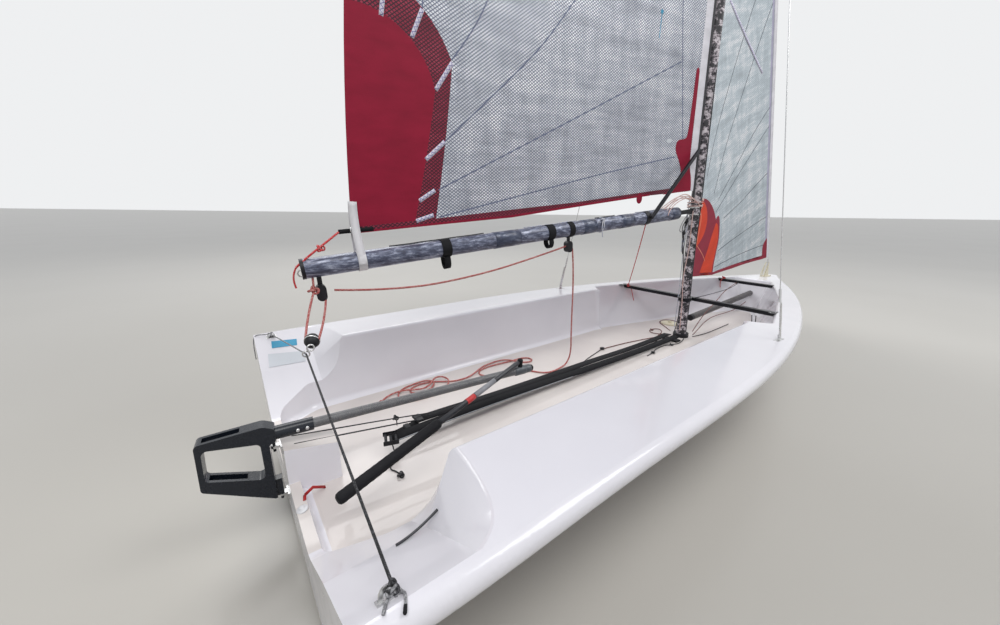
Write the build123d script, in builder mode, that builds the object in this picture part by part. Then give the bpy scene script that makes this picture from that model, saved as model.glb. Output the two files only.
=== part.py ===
from build123d import *
import os
from math import cos, radians, sin, tan

os.makedirs("parts", exist_ok=True)

# All sizes are in millimetres. X points forward, Y to port and Z up, with the floor at Z = 0.
# Distances called "station" run forward from the transom. Heights called "drop" or "rise"
# run down or up from the sheer, which is level.

# Driving sizes of the hull
hull_length = 4000
half_beam = 775
sheer = 420
sole_drop = 275

# Driving sizes of the rudder head, which stands behind the transom
rudder_rest = 6
rudder_axis_offset = 18
head_reach = 178
head_half_width = 22
rudder_overhang = (
    rudder_axis_offset
    + head_reach * cos(radians(rudder_rest))
    + head_half_width * sin(radians(rudder_rest))
)
x_transom = (rudder_overhang - hull_length) / 2

# Driving sizes of the rig
mast_station = 2385
mast_rake = 3.2
mast_length = 5600
mast_radius = 30
track_standoff = 14
track_radius = 8
boom_length = 2000
boom_radius = 35
boom_height = 562
boom_droop = 2.5
boom_swing = 7.2
sail_thickness = 3
edge_gap = 0.3
wire_radius = 2

# Running and seating clearances
pin_clearance = 0.08
slide_clearance = 0.5
seat_clearance = 0.3


def at(station, y=0, rise=0):
    """Point at a station, a breadth to port and a rise above the sheer."""
    return Vector(x_transom + station, y, sheer + rise)


def save(piece, name):
    """Label a finished piece and write its file."""
    piece.part.label = name
    export_step(piece.part, "parts/" + name + ".step")


# Hull sections. The last columns are shares of the half breadth.
# share of length, share of half beam, keel height, knuckle share
hull_stations = [
    (0.000, 0.994, 45, 0.56),
    (0.150, 0.998, 14, 0.56),
    (0.305, 1.000, -4, 0.56),
    (0.500, 0.916, -4, 0.54),
    (0.675, 0.707, 12, 0.50),
    (0.825, 0.432, 50, 0.45),
    (0.925, 0.200, 105, 0.40),
    (1.000, 0.050, 190, 0.38),
]
bilge_share = 0.28
rim_share = 0.035
rim_trim = 1.05
tank_edge_share = 0.57
tank_edge_radius_share = 0.10
crown_share = 0.016

# Cockpit
well_aft_station = 35
well_front_station = 2080
well_half_width = 440
well_aft_half_width = 365
well_splay_station = 165
well_wall_draft = 48
well_corner_radius = 60
sole_fillet = 30
cut_headroom = 60
dish_drop = 235
dish_half_width = 340
dish_rim_half_width = 750
dish_rim_rise = 10
dish_radius = 150

# End of the side tanks, which slopes up from the foot to the deck
tank_foot_station = 205
tank_top_station = 320
tank_foot_half_width = 545
tank_foot_drop = 105
tank_top_radius = 14
over_cut = 20

# Forward well: station and half width at the sole, station and half width at the rim
forward_well = [
    (1900, 250, 1900, 250),
    (2060, 445, 2160, 590),
    (2420, 365, 2440, 520),
    (2900, 255, 2910, 395),
    (3250, 150, 3260, 262),
    (3500, 60, 3560, 140),
]
forward_well_radius = 40

# Pod at the middle of the transom
pod_half_width = 55
pod_length = 145
pod_aft_drop = 120
pod_front_drop = 150

# Centreboard slot
slot_aft_station = 1430
slot_front_station = 1830
slot_width = 24

# Cross bars
mast_bar_half_length = 510
bow_bar_half_length = 205
bow_bar_station = 3375
bar_width = 34
bar_height = 22
bar_top_rise = 2
bar_gap = 5
collar_wall = 11

# Deck fittings that sit on flat seats let into the deck
chainplate_station = 1876
chainplate_half_width = 670
chainplate_base = (70, 22, 4)
stay_foot_station = 3840
bow_base = (110, 46, 10)

# Bowsprit
bowsprit_radius = 22
bowsprit_aft_station = 2512
bowsprit_length = 1400
bowsprit_aft_drop = 160
bowsprit_slope = 2.4

sole = sheer - sole_drop
mast_bar_station = (
    mast_station - sole_drop * tan(radians(mast_rake)) + mast_radius + bar_width / 2 + bar_gap
)

bowsprit_line = Plane(
    origin=at(bowsprit_aft_station, 0, -bowsprit_aft_drop),
    x_dir=(0, 1, 0),
    z_dir=(cos(radians(bowsprit_slope)), 0, sin(radians(bowsprit_slope))),
)


def mirrored(half):
    """Closed outline from the points of its port half, listed from aft to forward."""
    return half + [(x, -y) for x, y in reversed(half)]


def well_cutter(low_half, high_half, low_radius, high_radius):
    """Tapered block from the sole to above the rim, with a rounded floor edge."""
    with BuildPart() as cutter:
        with BuildSketch(Plane.XY.offset(sole)):
            with BuildLine():
                FilletPolyline(*mirrored(low_half), radius=low_radius, close=True)
            make_face()
        with BuildSketch(Plane.XY.offset(sheer + cut_headroom)):
            with BuildLine():
                FilletPolyline(*mirrored(high_half), radius=high_radius, close=True)
            make_face()
        loft(ruled=True)
        fillet(cutter.edges().group_by(Axis.Z)[0], radius=sole_fillet)
    return cutter.part


# Straight stretch of the cockpit between the side tanks
main_low = [
    (x_transom + well_aft_station, well_aft_half_width),
    (x_transom + well_splay_station, well_half_width),
    (x_transom + well_front_station, well_half_width),
]
main_high = [
    (x_transom + well_aft_station - well_wall_draft, well_aft_half_width + well_wall_draft),
    (x_transom + well_splay_station - well_wall_draft, well_half_width + well_wall_draft),
    (x_transom + well_front_station, well_half_width + well_wall_draft),
]
main_well = well_cutter(main_low, main_high, well_corner_radius, well_corner_radius)

# Deep part of the cockpit from the mast to the bow
forward_low = [(x_transom + row[0], row[1]) for row in forward_well]
forward_high = [(x_transom + row[2], row[3]) for row in forward_well]
bow_well = well_cutter(forward_low, forward_high, forward_well_radius, forward_well_radius)

# Side decks that fall to a low sill across the transom, up to the sloping ends of the tanks.
# A row is the station, the half widths at the low corner, the foot and the rim, the drop of the
# low corner, the rises of the foot and the rim, and the radius of the low corner.
dish_slope = (tank_foot_drop + dish_rim_rise) / (dish_rim_half_width - tank_foot_half_width)
dish_rows = []
for station in (-over_cut, tank_foot_station):
    dish_rows.append((
        station, dish_half_width, tank_foot_half_width, dish_rim_half_width,
        dish_drop, -tank_foot_drop, dish_rim_rise, dish_radius,
    ))
dish_rows.append((
    tank_top_station, well_half_width - sole_fillet / 2, well_half_width + well_wall_draft / 2,
    dish_rim_half_width, sole_drop - sole_fillet / 2, dish_rim_rise + over_cut / 2,
    dish_rim_rise + over_cut / 2, sole_fillet,
))
with BuildPart() as dish_cutter:
    for station, low, foot, rim, drop, foot_rise, rim_rise, radius in dish_rows:
        with BuildSketch(Plane.YZ.offset(x_transom + station)):
            with BuildLine():
                FilletPolyline(
                    (-low, sheer - drop),
                    (low, sheer - drop),
                    (foot, sheer + foot_rise),
                    (rim, sheer + rim_rise),
                    (rim, sheer + cut_headroom),
                    (-rim, sheer + cut_headroom),
                    (-rim, sheer + rim_rise),
                    (-foot, sheer + foot_rise),
                    radius=[radius, radius, 0, 0, 0, 0, 0, 0],
                    close=True,
                )
            make_face()
    loft(ruled=True)

rim_band = 120
rim_shortest = 30


def on_well_rim(edge):
    """Whether an edge runs along the deck beside the cockpit."""
    middle = edge @ 0.5
    station = middle.X - x_transom
    return (
        middle.Z > sheer - 1
        and tank_foot_station < station < forward_well[-1][2] + rim_shortest
        and rim_shortest < abs(middle.Y) < half_beam - rim_band
        and edge.length > rim_shortest
    )


# Moulded hull with its decks, side tanks and cockpit
with BuildPart() as hull:
    for share, beam_share, keel, knuckle in hull_stations:
        breadth = half_beam * beam_share / (1 - rim_trim * rim_share)
        with BuildSketch(Plane.YZ.offset(x_transom + hull_length * share)):
            with BuildLine():
                FilletPolyline(
                    (-breadth * knuckle, keel),
                    (breadth * knuckle, keel),
                    (breadth, sheer),
                    (breadth * tank_edge_share, sheer + breadth * crown_share),
                    (-breadth * tank_edge_share, sheer + breadth * crown_share),
                    (-breadth, sheer),
                    radius=[
                        breadth * bilge_share,
                        breadth * bilge_share,
                        breadth * rim_share,
                        breadth * tank_edge_radius_share,
                        breadth * tank_edge_radius_share,
                        breadth * rim_share,
                    ],
                    close=True,
                )
            make_face()
    loft()
    split(bisect_by=Plane.XY, keep=Keep.TOP)
    add(main_well, mode=Mode.SUBTRACT)
    add(bow_well, mode=Mode.SUBTRACT)
    add(dish_cutter.part, mode=Mode.SUBTRACT)
    # rounded edge of the deck along both sides of the cockpit
    fillet(hull.edges().filter_by(on_well_rim), radius=tank_top_radius)
    # pod that carries the rudder
    with BuildSketch(Plane.XZ):
        with BuildLine():
            Polyline(
                (x_transom, sole - over_cut),
                (x_transom, sheer - pod_aft_drop),
                (x_transom + pod_length, sheer - pod_front_drop),
                (x_transom + pod_length, sole - over_cut),
                close=True,
            )
        make_face()
    extrude(amount=pod_half_width, both=True)
    # centreboard slot through the bottom
    with Locations(at((slot_aft_station + slot_front_station) / 2, 0, -sheer)):
        Box(
            slot_front_station - slot_aft_station,
            slot_width,
            sheer * 2,
            mode=Mode.SUBTRACT,
        )
    # sockets for the ends of the two cross bars
    for station, half_length in (
        (mast_bar_station, mast_bar_half_length),
        (bow_bar_station, bow_bar_half_length),
    ):
        with Locations(at(station, 0, bar_top_rise - bar_height)):
            Box(
                bar_width + 2 * seat_clearance,
                2 * half_length,
                bar_height + cut_headroom,
                align=(Align.CENTER, Align.CENTER, Align.MIN),
                mode=Mode.SUBTRACT,
            )
    # flat seats for the chainplates and the bow fitting
    for station, breadth, base in (
        (chainplate_station, chainplate_half_width, chainplate_base),
        (chainplate_station, -chainplate_half_width, chainplate_base),
        (stay_foot_station, 0, bow_base),
    ):
        with Locations(at(station, breadth)):
            Box(
                base[0] + 2 * seat_clearance,
                base[1] + 2 * seat_clearance,
                cut_headroom,
                align=(Align.CENTER, Align.CENTER, Align.MIN),
                mode=Mode.SUBTRACT,
            )
    # tunnel for the bowsprit through the stem
    with BuildSketch(bowsprit_line.offset(bowsprit_length / 2)):
        Circle(bowsprit_radius + slide_clearance)
    extrude(amount=hull_length, mode=Mode.SUBTRACT)
save(hull, "hull")


# Mast, its step and its fittings
step_radius = 48
step_height = 24
boom_reach = (boom_height + sole_drop) / cos(radians(mast_rake))
hounds_reach = 4100
track_start = 40
track_neck = 6
luff_offset = mast_radius + track_standoff
band_wall = 4
band_height = 40
mast_up = Vector(-sin(radians(mast_rake)), 0, cos(radians(mast_rake)))
mast_aft = Vector(-cos(radians(mast_rake)), 0, -sin(radians(mast_rake)))
port = Vector(0, 1, 0)
mast_foot = at(mast_station, 0, -sole_drop)
mast_plane = Plane(origin=mast_foot, x_dir=mast_aft, z_dir=mast_up)

with BuildPart() as mast:
    with BuildSketch(mast_plane.offset(step_height)):
        Circle(mast_radius)
    extrude(amount=mast_length - step_height)
    with BuildSketch(mast_plane.offset(boom_reach + track_start)):
        with Locations((luff_offset, 0)):
            Circle(track_radius)
        with Locations((luff_offset / 2 + track_radius, 0)):
            Rectangle(luff_offset - track_radius, track_neck)
    extrude(amount=mast_length - boom_reach - track_start)
save(mast, "mast")

with BuildPart() as mast_step:
    with BuildSketch(mast_plane.offset(-step_height)):
        Circle(step_radius)
    extrude(amount=2 * step_height)
    split(bisect_by=Plane.XY.offset(sole), keep=Keep.TOP)
save(mast_step, "mast_step")

# Cross bar that holds the mast at deck level, with its collar
collar_reach = (sole_drop + bar_top_rise - bar_height / 2) / cos(radians(mast_rake))
with BuildPart() as mast_bar:
    with Locations(at(mast_bar_station, 0, bar_top_rise)):
        Box(
            bar_width,
            2 * (mast_bar_half_length - seat_clearance),
            bar_height,
            align=(Align.CENTER, Align.CENTER, Align.MAX),
        )
    with BuildSketch(mast_plane.offset(collar_reach - bar_height / 2)):
        Circle(mast_radius + collar_wall)
    extrude(amount=bar_height)
    with BuildSketch(mast_plane.offset(collar_reach - bar_height)):
        Circle(mast_radius + seat_clearance)
    extrude(amount=2 * bar_height, mode=Mode.SUBTRACT)
save(mast_bar, "mast_bar")

with BuildPart() as bow_bar:
    with Locations(at(bow_bar_station, 0, bar_top_rise)):
        Box(
            bar_width,
            2 * (bow_bar_half_length - seat_clearance),
            bar_height,
            align=(Align.CENTER, Align.CENTER, Align.MAX),
        )
save(bow_bar, "bow_bar")

# Bowsprit, drawn back into its tunnel, with a plug at each end
plug_length = 30
plug_edge = 6
with BuildPart() as bowsprit:
    with BuildSketch(bowsprit_line):
        Circle(bowsprit_radius)
    extrude(amount=bowsprit_length)
save(bowsprit, "bowsprit")

with BuildPart() as bowsprit_heel:
    with BuildSketch(bowsprit_line.offset(-plug_length)):
        Circle(bowsprit_radius)
    extrude(amount=plug_length)
    fillet(bowsprit_heel.edges().group_by(Axis.X)[0], radius=plug_edge)
save(bowsprit_heel, "bowsprit_heel")

# Standing rigging
chainplate_lug = (20, 4, 26)
chainplate_lug_root = 1
adjuster_length = 170
adjuster_width = 18
adjuster_thickness = 4
adjuster_lift = 6
terminal_radius = 5
terminal_length = 60
stay_foot_rise = 100
hounds = mast_foot + mast_up * hounds_reach
stay_seat = mast_radius + seat_clearance + band_wall + terminal_radius + seat_clearance

with BuildPart() as hounds_band:
    with BuildSketch(mast_plane.offset(hounds_reach - band_height / 2)):
        Circle(mast_radius + seat_clearance + band_wall)
        Circle(mast_radius + seat_clearance, mode=Mode.SUBTRACT)
        with Locations((luff_offset, 0)):
            Rectangle(2 * luff_offset - mast_radius, 3 * track_radius, mode=Mode.SUBTRACT)
    extrude(amount=band_height)
save(hounds_band, "hounds_band")


def stay(low, high):
    """Wire from a low point to a high point with a swaged terminal at each end."""
    run = high - low
    line = Plane(origin=low, z_dir=run)
    with BuildPart() as wire:
        with BuildSketch(line):
            Circle(wire_radius)
        extrude(amount=run.length)
        with BuildSketch(line):
            Circle(terminal_radius)
        extrude(amount=terminal_length)
        with BuildSketch(line.offset(run.length - terminal_length)):
            Circle(terminal_radius)
        extrude(amount=terminal_length)
    return wire.part


stay_foot = at(stay_foot_station, 0, stay_foot_rise)
forestay_top = hounds - mast_aft * stay_seat
forestay_lift = terminal_radius / 2
with BuildPart() as forestay:
    add(stay(stay_foot + (forestay_top - stay_foot).normalized() * forestay_lift, forestay_top))
save(forestay, "forestay")

adjuster_lines = []
for side in (1, -1):
    root_point = at(chainplate_station, side * chainplate_half_width, 0)
    top_point = hounds + port * side * stay_seat
    adjuster_lines.append((root_point, top_point, side))

with BuildPart() as shrouds:
    for root_point, top_point, side in adjuster_lines:
        direction = (top_point - root_point).normalized()
        add(stay(root_point + direction * adjuster_length, top_point))
save(shrouds, "shrouds")


def shroud_blade(root_point, top_point):
    """Upright plane along a shroud, with its X along the wire and its normal to port."""
    run = (top_point - root_point).normalized()
    return Plane(origin=root_point, x_dir=run, z_dir=run.cross(Vector(1, 0, 0)))


# Adjuster plates that hang the shrouds beside their chainplates
with BuildPart() as shroud_adjusters:
    for root_point, top_point, side in adjuster_lines:
        blade = shroud_blade(root_point, top_point)
        low_end = chainplate_base[2] + adjuster_lift
        offset = side * (adjuster_thickness + chainplate_lug[1]) / 2 + side * seat_clearance
        with BuildSketch(blade.offset(offset)):
            with Locations(((adjuster_length - edge_gap + low_end) / 2, 0)):
                RectangleRounded(
                    adjuster_length - edge_gap - low_end, adjuster_width, adjuster_width / 3
                )
        extrude(amount=adjuster_thickness / 2, both=True)
save(shroud_adjusters, "shroud_adjusters")

with BuildPart() as chainplates:
    for root_point, top_point, side in adjuster_lines:
        with Locations(root_point):
            Box(*chainplate_base, align=(Align.CENTER, Align.CENTER, Align.MIN))
        with BuildSketch(shroud_blade(root_point, top_point)):
            with Locations((chainplate_lug[2] / 2 + chainplate_lug_root, 0)):
                Rectangle(chainplate_lug[2], chainplate_lug[0])
        extrude(amount=chainplate_lug[1] / 2, both=True)
save(chainplates, "chainplates")

# Bow fitting with the forestay upstand and a hole for a painter
bow_upstand = (44, 8)
bow_upstand_tip = 10
painter_radius = 5
painter_rise = 38
with BuildPart() as bow_fitting:
    with Locations(at(stay_foot_station, 0, 0)):
        Box(*bow_base, align=(Align.CENTER, Align.CENTER, Align.MIN))
    with BuildSketch(Plane.XZ):
        with BuildLine():
            Polyline(
                (x_transom + stay_foot_station - bow_upstand[0], sheer + bow_base[2]),
                (x_transom + stay_foot_station - bow_upstand_tip, sheer + stay_foot_rise - edge_gap),
                (x_transom + stay_foot_station + bow_upstand_tip, sheer + stay_foot_rise - edge_gap),
                (x_transom + stay_foot_station + bow_upstand[0], sheer + bow_base[2]),
                close=True,
            )
        make_face()
        with Locations((x_transom + stay_foot_station, sheer + painter_rise)):
            Circle(painter_radius, mode=Mode.SUBTRACT)
    extrude(amount=bow_upstand[1] / 2, both=True)
save(bow_fitting, "bow_fitting")

# Line of the boom, swung to port, and the flat plane of the mainsail through it
pivot = mast_foot + mast_aft * luff_offset + mast_up * boom_reach
boom_aft = mast_aft * cos(radians(boom_swing)) + port * sin(radians(boom_swing))
boom_port = boom_aft.cross(mast_up)
boom_run = boom_aft * cos(radians(boom_droop)) - mast_up * sin(radians(boom_droop))
sail_plane = Plane(origin=pivot, x_dir=boom_aft, z_dir=boom_port)
luff_plane = Plane(origin=pivot, x_dir=boom_aft, z_dir=mast_up)
boom_line = Plane(origin=pivot, x_dir=boom_port, z_dir=boom_run)

# Gooseneck: two ears and a pin on the mast, an eye on the boom between them
ear_radius = 12
ear_thickness = 6
eye_height = 35
pin_radius = 5
eye_stem = (18, 24)
boom_start = 160
cap_length = 12
cap_wall = 1
with BuildPart() as gooseneck_bracket:
    for low in (-eye_height / 2 - seat_clearance - ear_thickness, eye_height / 2 + seat_clearance):
        with BuildSketch(mast_plane.offset(boom_reach + low)):
            Circle(mast_radius + seat_clearance + band_wall)
            with Locations((luff_offset / 2, 0)):
                Rectangle(luff_offset, 2 * ear_radius)
            with Locations((luff_offset, 0)):
                Circle(ear_radius)
            Circle(mast_radius + seat_clearance, mode=Mode.SUBTRACT)
        extrude(amount=ear_thickness)
    with BuildSketch(luff_plane.offset(-eye_height / 2 - ear_thickness)):
        Circle(pin_radius)
    extrude(amount=eye_height + 2 * ear_thickness)
save(gooseneck_bracket, "gooseneck_bracket")

with BuildPart() as gooseneck_eye:
    with BuildSketch(luff_plane.offset(-eye_height / 2)):
        Circle(ear_radius)
    extrude(amount=eye_height)
    with BuildSketch(boom_line.offset(pin_radius)):
        Rectangle(*eye_stem)
    extrude(amount=boom_start - cap_length - pin_radius)
    with BuildSketch(luff_plane.offset(-eye_height)):
        Circle(pin_radius + pin_clearance)
    extrude(amount=2 * eye_height, mode=Mode.SUBTRACT)
save(gooseneck_eye, "gooseneck_eye")

with BuildPart() as boom:
    with BuildSketch(boom_line.offset(boom_start)):
        Circle(boom_radius)
    extrude(amount=boom_length)
save(boom, "boom")

with BuildPart() as boom_caps:
    for start in (boom_start - cap_length, boom_start + boom_length):
        with BuildSketch(boom_line.offset(start)):
            Circle(boom_radius + cap_wall)
        extrude(amount=cap_length)
save(boom_caps, "boom_caps")

# Straps round the boom: distance from the pivot and width
boom_straps = [(980, 30), (1105, 40), (1639, 40)]
strap_wall = 3
with BuildPart() as boom_bands:
    for reach, width in boom_straps:
        with BuildSketch(boom_line.offset(reach - width / 2)):
            Circle(boom_radius + seat_clearance + strap_wall)
            Circle(boom_radius + seat_clearance, mode=Mode.SUBTRACT)
        extrude(amount=width)
save(boom_bands, "boom_bands")

# Strut from the mast down to a band on the boom, on the starboard side of the sail
strut_radius = 11
strut_band_reach = 430
strut_band_width = 34
strut_head = (24, 347, 21)
strut_foot_lift = 4
strut_side = boom_radius + seat_clearance + strap_wall + strut_radius + edge_gap
strut_top = (
    pivot + boom_aft * strut_head[0] + mast_up * strut_head[1] - boom_port * strut_head[2]
)
strut_foot = (
    pivot
    + boom_run * strut_band_reach
    - boom_port * strut_side
    + mast_up * strut_foot_lift
)
strut_run = strut_foot - strut_top
with BuildPart() as strut:
    with BuildSketch(Plane(origin=strut_top, z_dir=strut_run)):
        Circle(strut_radius)
    extrude(amount=strut_run.length)
save(strut, "boom_strut")

with BuildPart() as strut_band:
    with BuildSketch(boom_line.offset(strut_band_reach - strut_band_width / 2)):
        Circle(boom_radius + seat_clearance + strap_wall)
        Circle(boom_radius + seat_clearance, mode=Mode.SUBTRACT)
    extrude(amount=strut_band_width)
save(strut_band, "strut_band")

# Mainsheet blocks, each hung from the boom by a flat becket
# distance along the boom, drop of the centre, length, radius that the becket hangs from
becket_gap = 0.7
sheave_blocks = [
    (980, 84, 56, boom_radius + seat_clearance + strap_wall + becket_gap),
    (2120, 92, 60, boom_radius + becket_gap),
]
block_width = 30
block_depth = 34
becket_width = 16
becket_thickness = 6
with BuildPart() as mainsheet_blocks:
    for reach, drop, length, hang in sheave_blocks:
        centre = pivot + boom_run * reach - mast_up * drop
        side_view = Plane(origin=centre, x_dir=boom_aft, z_dir=boom_port)
        with BuildSketch(side_view):
            SlotOverall(length, block_depth, rotation=90)
        extrude(amount=block_width / 2, both=True)
        with BuildSketch(side_view):
            with Locations((0, (drop - hang) / 2)):
                Rectangle(becket_width, drop - hang)
        extrude(amount=becket_thickness / 2, both=True)
save(mainsheet_blocks, "mainsheet_blocks")

# Sails. Each is cut to its outline from a thin curved sheet.
main_camber = 70
main_chord = 2100
main_tack_rise = 120
main_head_rise = 4600
main_peak = (300, 4640)
main_leech = (1471, 2446)
main_clew = (1985, 13)
main_foot = (1263, 30)
main_foot_front = (353, 102)
sail_reach = 400
sail_top_margin = 10


def sheet_band(chord, camber, front):
    """Section of a curved sheet, bulging to port, from the luff to past the leech."""
    with BuildLine() as outline:
        near = ThreePointArc(
            (front, -sail_thickness / 2),
            (chord / 2, -camber - sail_thickness / 2),
            (chord, -sail_thickness / 2),
        )
        far = ThreePointArc(
            (front, sail_thickness / 2),
            (chord / 2, -camber + sail_thickness / 2),
            (chord, sail_thickness / 2),
        )
        Line(near @ 0, far @ 0)
        Line(near @ 1, far @ 1)
    return outline


main_front = track_radius + edge_gap
with BuildPart() as mainsail:
    with BuildSketch(sail_plane):
        with BuildLine():
            Polyline(
                main_clew,
                main_foot,
                main_foot_front,
                (main_front, main_tack_rise),
                (main_front, main_head_rise),
                main_peak,
            )
            ThreePointArc(main_peak, main_leech, main_clew)
        make_face()
    extrude(amount=sail_reach, both=True)
    with BuildSketch(luff_plane) as main_section:
        add(sheet_band(main_chord, main_camber, main_front).line)
        make_face()
    extrude(amount=main_peak[1] + sail_reach, mode=Mode.INTERSECT)
save(mainsail, "mainsail")

jib_tack_rise = 60
jib_head = (60, 3790)
jib_clew = (1175, 545)
jib_camber = 40
jib_chord = 1300
stay_up = (forestay_top - stay_foot).normalized()
stay_aft = stay_up.cross(port)
jib_plane = Plane(origin=stay_foot, x_dir=stay_aft, z_dir=stay_aft.cross(stay_up))
jib_base = Plane(origin=stay_foot, x_dir=stay_aft, z_dir=stay_up)
jib_front = terminal_radius + edge_gap
with BuildPart() as jib:
    with BuildSketch(jib_plane):
        with BuildLine():
            Polyline(
                (jib_front, jib_tack_rise),
                jib_clew,
                jib_head,
                (jib_front, jib_head[1] - sail_top_margin),
                close=True,
            )
        make_face()
    extrude(amount=sail_reach, both=True)
    with BuildSketch(jib_base):
        add(sheet_band(jib_chord, jib_camber, jib_front).line)
        make_face()
    extrude(amount=jib_head[1] + sail_reach, mode=Mode.INTERSECT)
save(jib, "jib")

# White strap that ties the clew down to the boom
clew_strap_width = 30
with BuildPart() as clew_strap:
    with BuildSketch(boom_line.offset(main_clew[0] - clew_strap_width)):
        Circle(boom_radius + seat_clearance + strap_wall)
        Circle(boom_radius + seat_clearance, mode=Mode.SUBTRACT)
    extrude(amount=clew_strap_width)
save(clew_strap, "clew_strap")

# Rudder parts stand on a plane through the pintle line, ahead of it is positive
gudgeon_drops = (124, 288)
gudgeon_thickness = 8
gudgeon_plate = (4, 44, 26)
lug_radius = 9
pintle_radius = 4
pintle_tip = 12
pintle_root = 2
rudder_ahead = Vector(cos(radians(rudder_rest)), -sin(radians(rudder_rest)), 0)
up = Vector(0, 0, 1)
pintle_top = at(-rudder_axis_offset, 0, 0)
rudder_plane = Plane(origin=pintle_top, x_dir=rudder_ahead, z_dir=rudder_ahead.cross(up))
pintle_plane = Plane(origin=pintle_top, x_dir=rudder_ahead, z_dir=up)

with BuildPart() as gudgeons:
    for drop in gudgeon_drops:
        with Locations(at(0, 0, -drop)):
            Box(*gudgeon_plate, align=(Align.MAX, Align.CENTER, Align.MAX))
        with BuildSketch(Plane.XY.offset(sheer - drop - gudgeon_thickness)):
            with Locations((x_transom - rudder_axis_offset, 0)):
                Circle(lug_radius)
            with Locations((x_transom - rudder_axis_offset / 2, 0)):
                Rectangle(rudder_axis_offset, 2 * lug_radius)
            with Locations((x_transom - rudder_axis_offset, 0)):
                Circle(pintle_radius + pin_clearance, mode=Mode.SUBTRACT)
        extrude(amount=gudgeon_thickness)
save(gudgeons, "gudgeons")

# Open rudder head: a frame with slots for the blade, a notch round the upper gudgeon and two
# arms that carry the pintles. The outlines run ahead of the pintle line and up from the sheer.
arm_front = 8
post_front = -10
upper_arm_drop = 100
lower_arm_drop = 232
lower_arm_front = 7
lower_arm_half_width = 12
blade_slot_half_width = 12
head_foot = -gudgeon_drops[1] + seat_clearance
head_outline = [
    (-174, -55),
    (-20, -47),
    (arm_front, -62),
    (arm_front, -upper_arm_drop),
    (post_front, -upper_arm_drop - 10),
    (post_front, head_foot),
    (post_front - 6, head_foot),
    (-head_reach, -196),
]
head_radii = [12, 30, 8, 6, 5, 1, 4, 12]
head_window = [(-161, -75), (-31, -98), (-30, -215), (-165, -168)]
window_radius = 13
blade_slot = (-158, -74)
with BuildPart() as rudder_head:
    with BuildSketch(rudder_plane):
        with BuildLine():
            FilletPolyline(*head_outline, radius=head_radii, close=True)
        make_face()
        with BuildLine():
            FilletPolyline(*head_window, radius=window_radius, close=True)
        make_face(mode=Mode.SUBTRACT)
    extrude(amount=head_half_width, both=True)
    with BuildSketch(rudder_plane):
        with Locations(((post_front - 6 + lower_arm_front) / 2, (head_foot - lower_arm_drop) / 2)):
            Rectangle(lower_arm_front - post_front + 6, -head_foot - lower_arm_drop)
    extrude(amount=lower_arm_half_width, both=True)
    with BuildSketch(pintle_plane.offset(-sheer)):
        with Locations(((blade_slot[0] + blade_slot[1]) / 2, 0)):
            Rectangle(blade_slot[1] - blade_slot[0], 2 * blade_slot_half_width)
    extrude(amount=sheer, mode=Mode.SUBTRACT)
    for drop, arm_drop in zip(gudgeon_drops, (upper_arm_drop, -head_foot)):
        low = drop + gudgeon_thickness + pintle_tip
        with BuildSketch(pintle_plane.offset(-low)):
            Circle(pintle_radius)
        extrude(amount=low - arm_drop + pintle_root)
save(rudder_head, "rudder_head")

# Tiller and its extension
tiller_drop = 85
socket_radius = 20
socket_length = 100
tiller_radius = 15
tiller_length = 781
tiller_line = Plane(
    origin=pintle_top + rudder_ahead * arm_front - up * tiller_drop,
    x_dir=rudder_ahead.cross(up),
    z_dir=rudder_ahead,
)
with BuildPart() as tiller_socket:
    with BuildSketch(tiller_line):
        Circle(socket_radius)
    extrude(amount=socket_length)
save(tiller_socket, "tiller_socket")

with BuildPart() as tiller:
    with BuildSketch(tiller_line.offset(socket_length)):
        Circle(tiller_radius)
    extrude(amount=tiller_length)
save(tiller, "tiller")

joint_setback = 18
joint_reach = socket_length + tiller_length - joint_setback
joint_rise = 40
joint_radius = 12
stem_radius = 10
extension_foot = at(84, -275, -172)
extension_radius = 10
grip_radius = 17
grip_length = 470
grip_edge = 15
knuckle = tiller_line.origin + rudder_ahead * joint_reach + up * joint_rise
extension_run = extension_foot - knuckle
extension_line = Plane(origin=knuckle, z_dir=extension_run)
with BuildPart() as extension_joint:
    with BuildSketch(Plane(origin=knuckle - up * joint_rise, x_dir=rudder_ahead, z_dir=up)):
        Circle(stem_radius)
    extrude(amount=joint_rise)
    with Locations(knuckle):
        Sphere(joint_radius)
    with BuildSketch(tiller_line.offset(joint_reach - 2 * joint_radius)):
        Circle(tiller_radius + seat_clearance)
    extrude(amount=4 * joint_radius, mode=Mode.SUBTRACT)
save(extension_joint, "extension_joint")

with BuildPart() as tiller_extension:
    with BuildSketch(extension_line.offset(joint_radius + seat_clearance)):
        Circle(extension_radius)
    extrude(amount=extension_run.length - grip_length - joint_radius)
save(tiller_extension, "tiller_extension")

with BuildPart() as extension_grip:
    with BuildSketch(extension_line.offset(extension_run.length - grip_length + seat_clearance)):
        Circle(grip_radius)
    extrude(amount=grip_length)
    fillet(extension_grip.edges().filter_by(GeomType.CIRCLE).sort_by(Axis.X)[0], radius=grip_edge)
save(extension_grip, "extension_grip")

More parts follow.
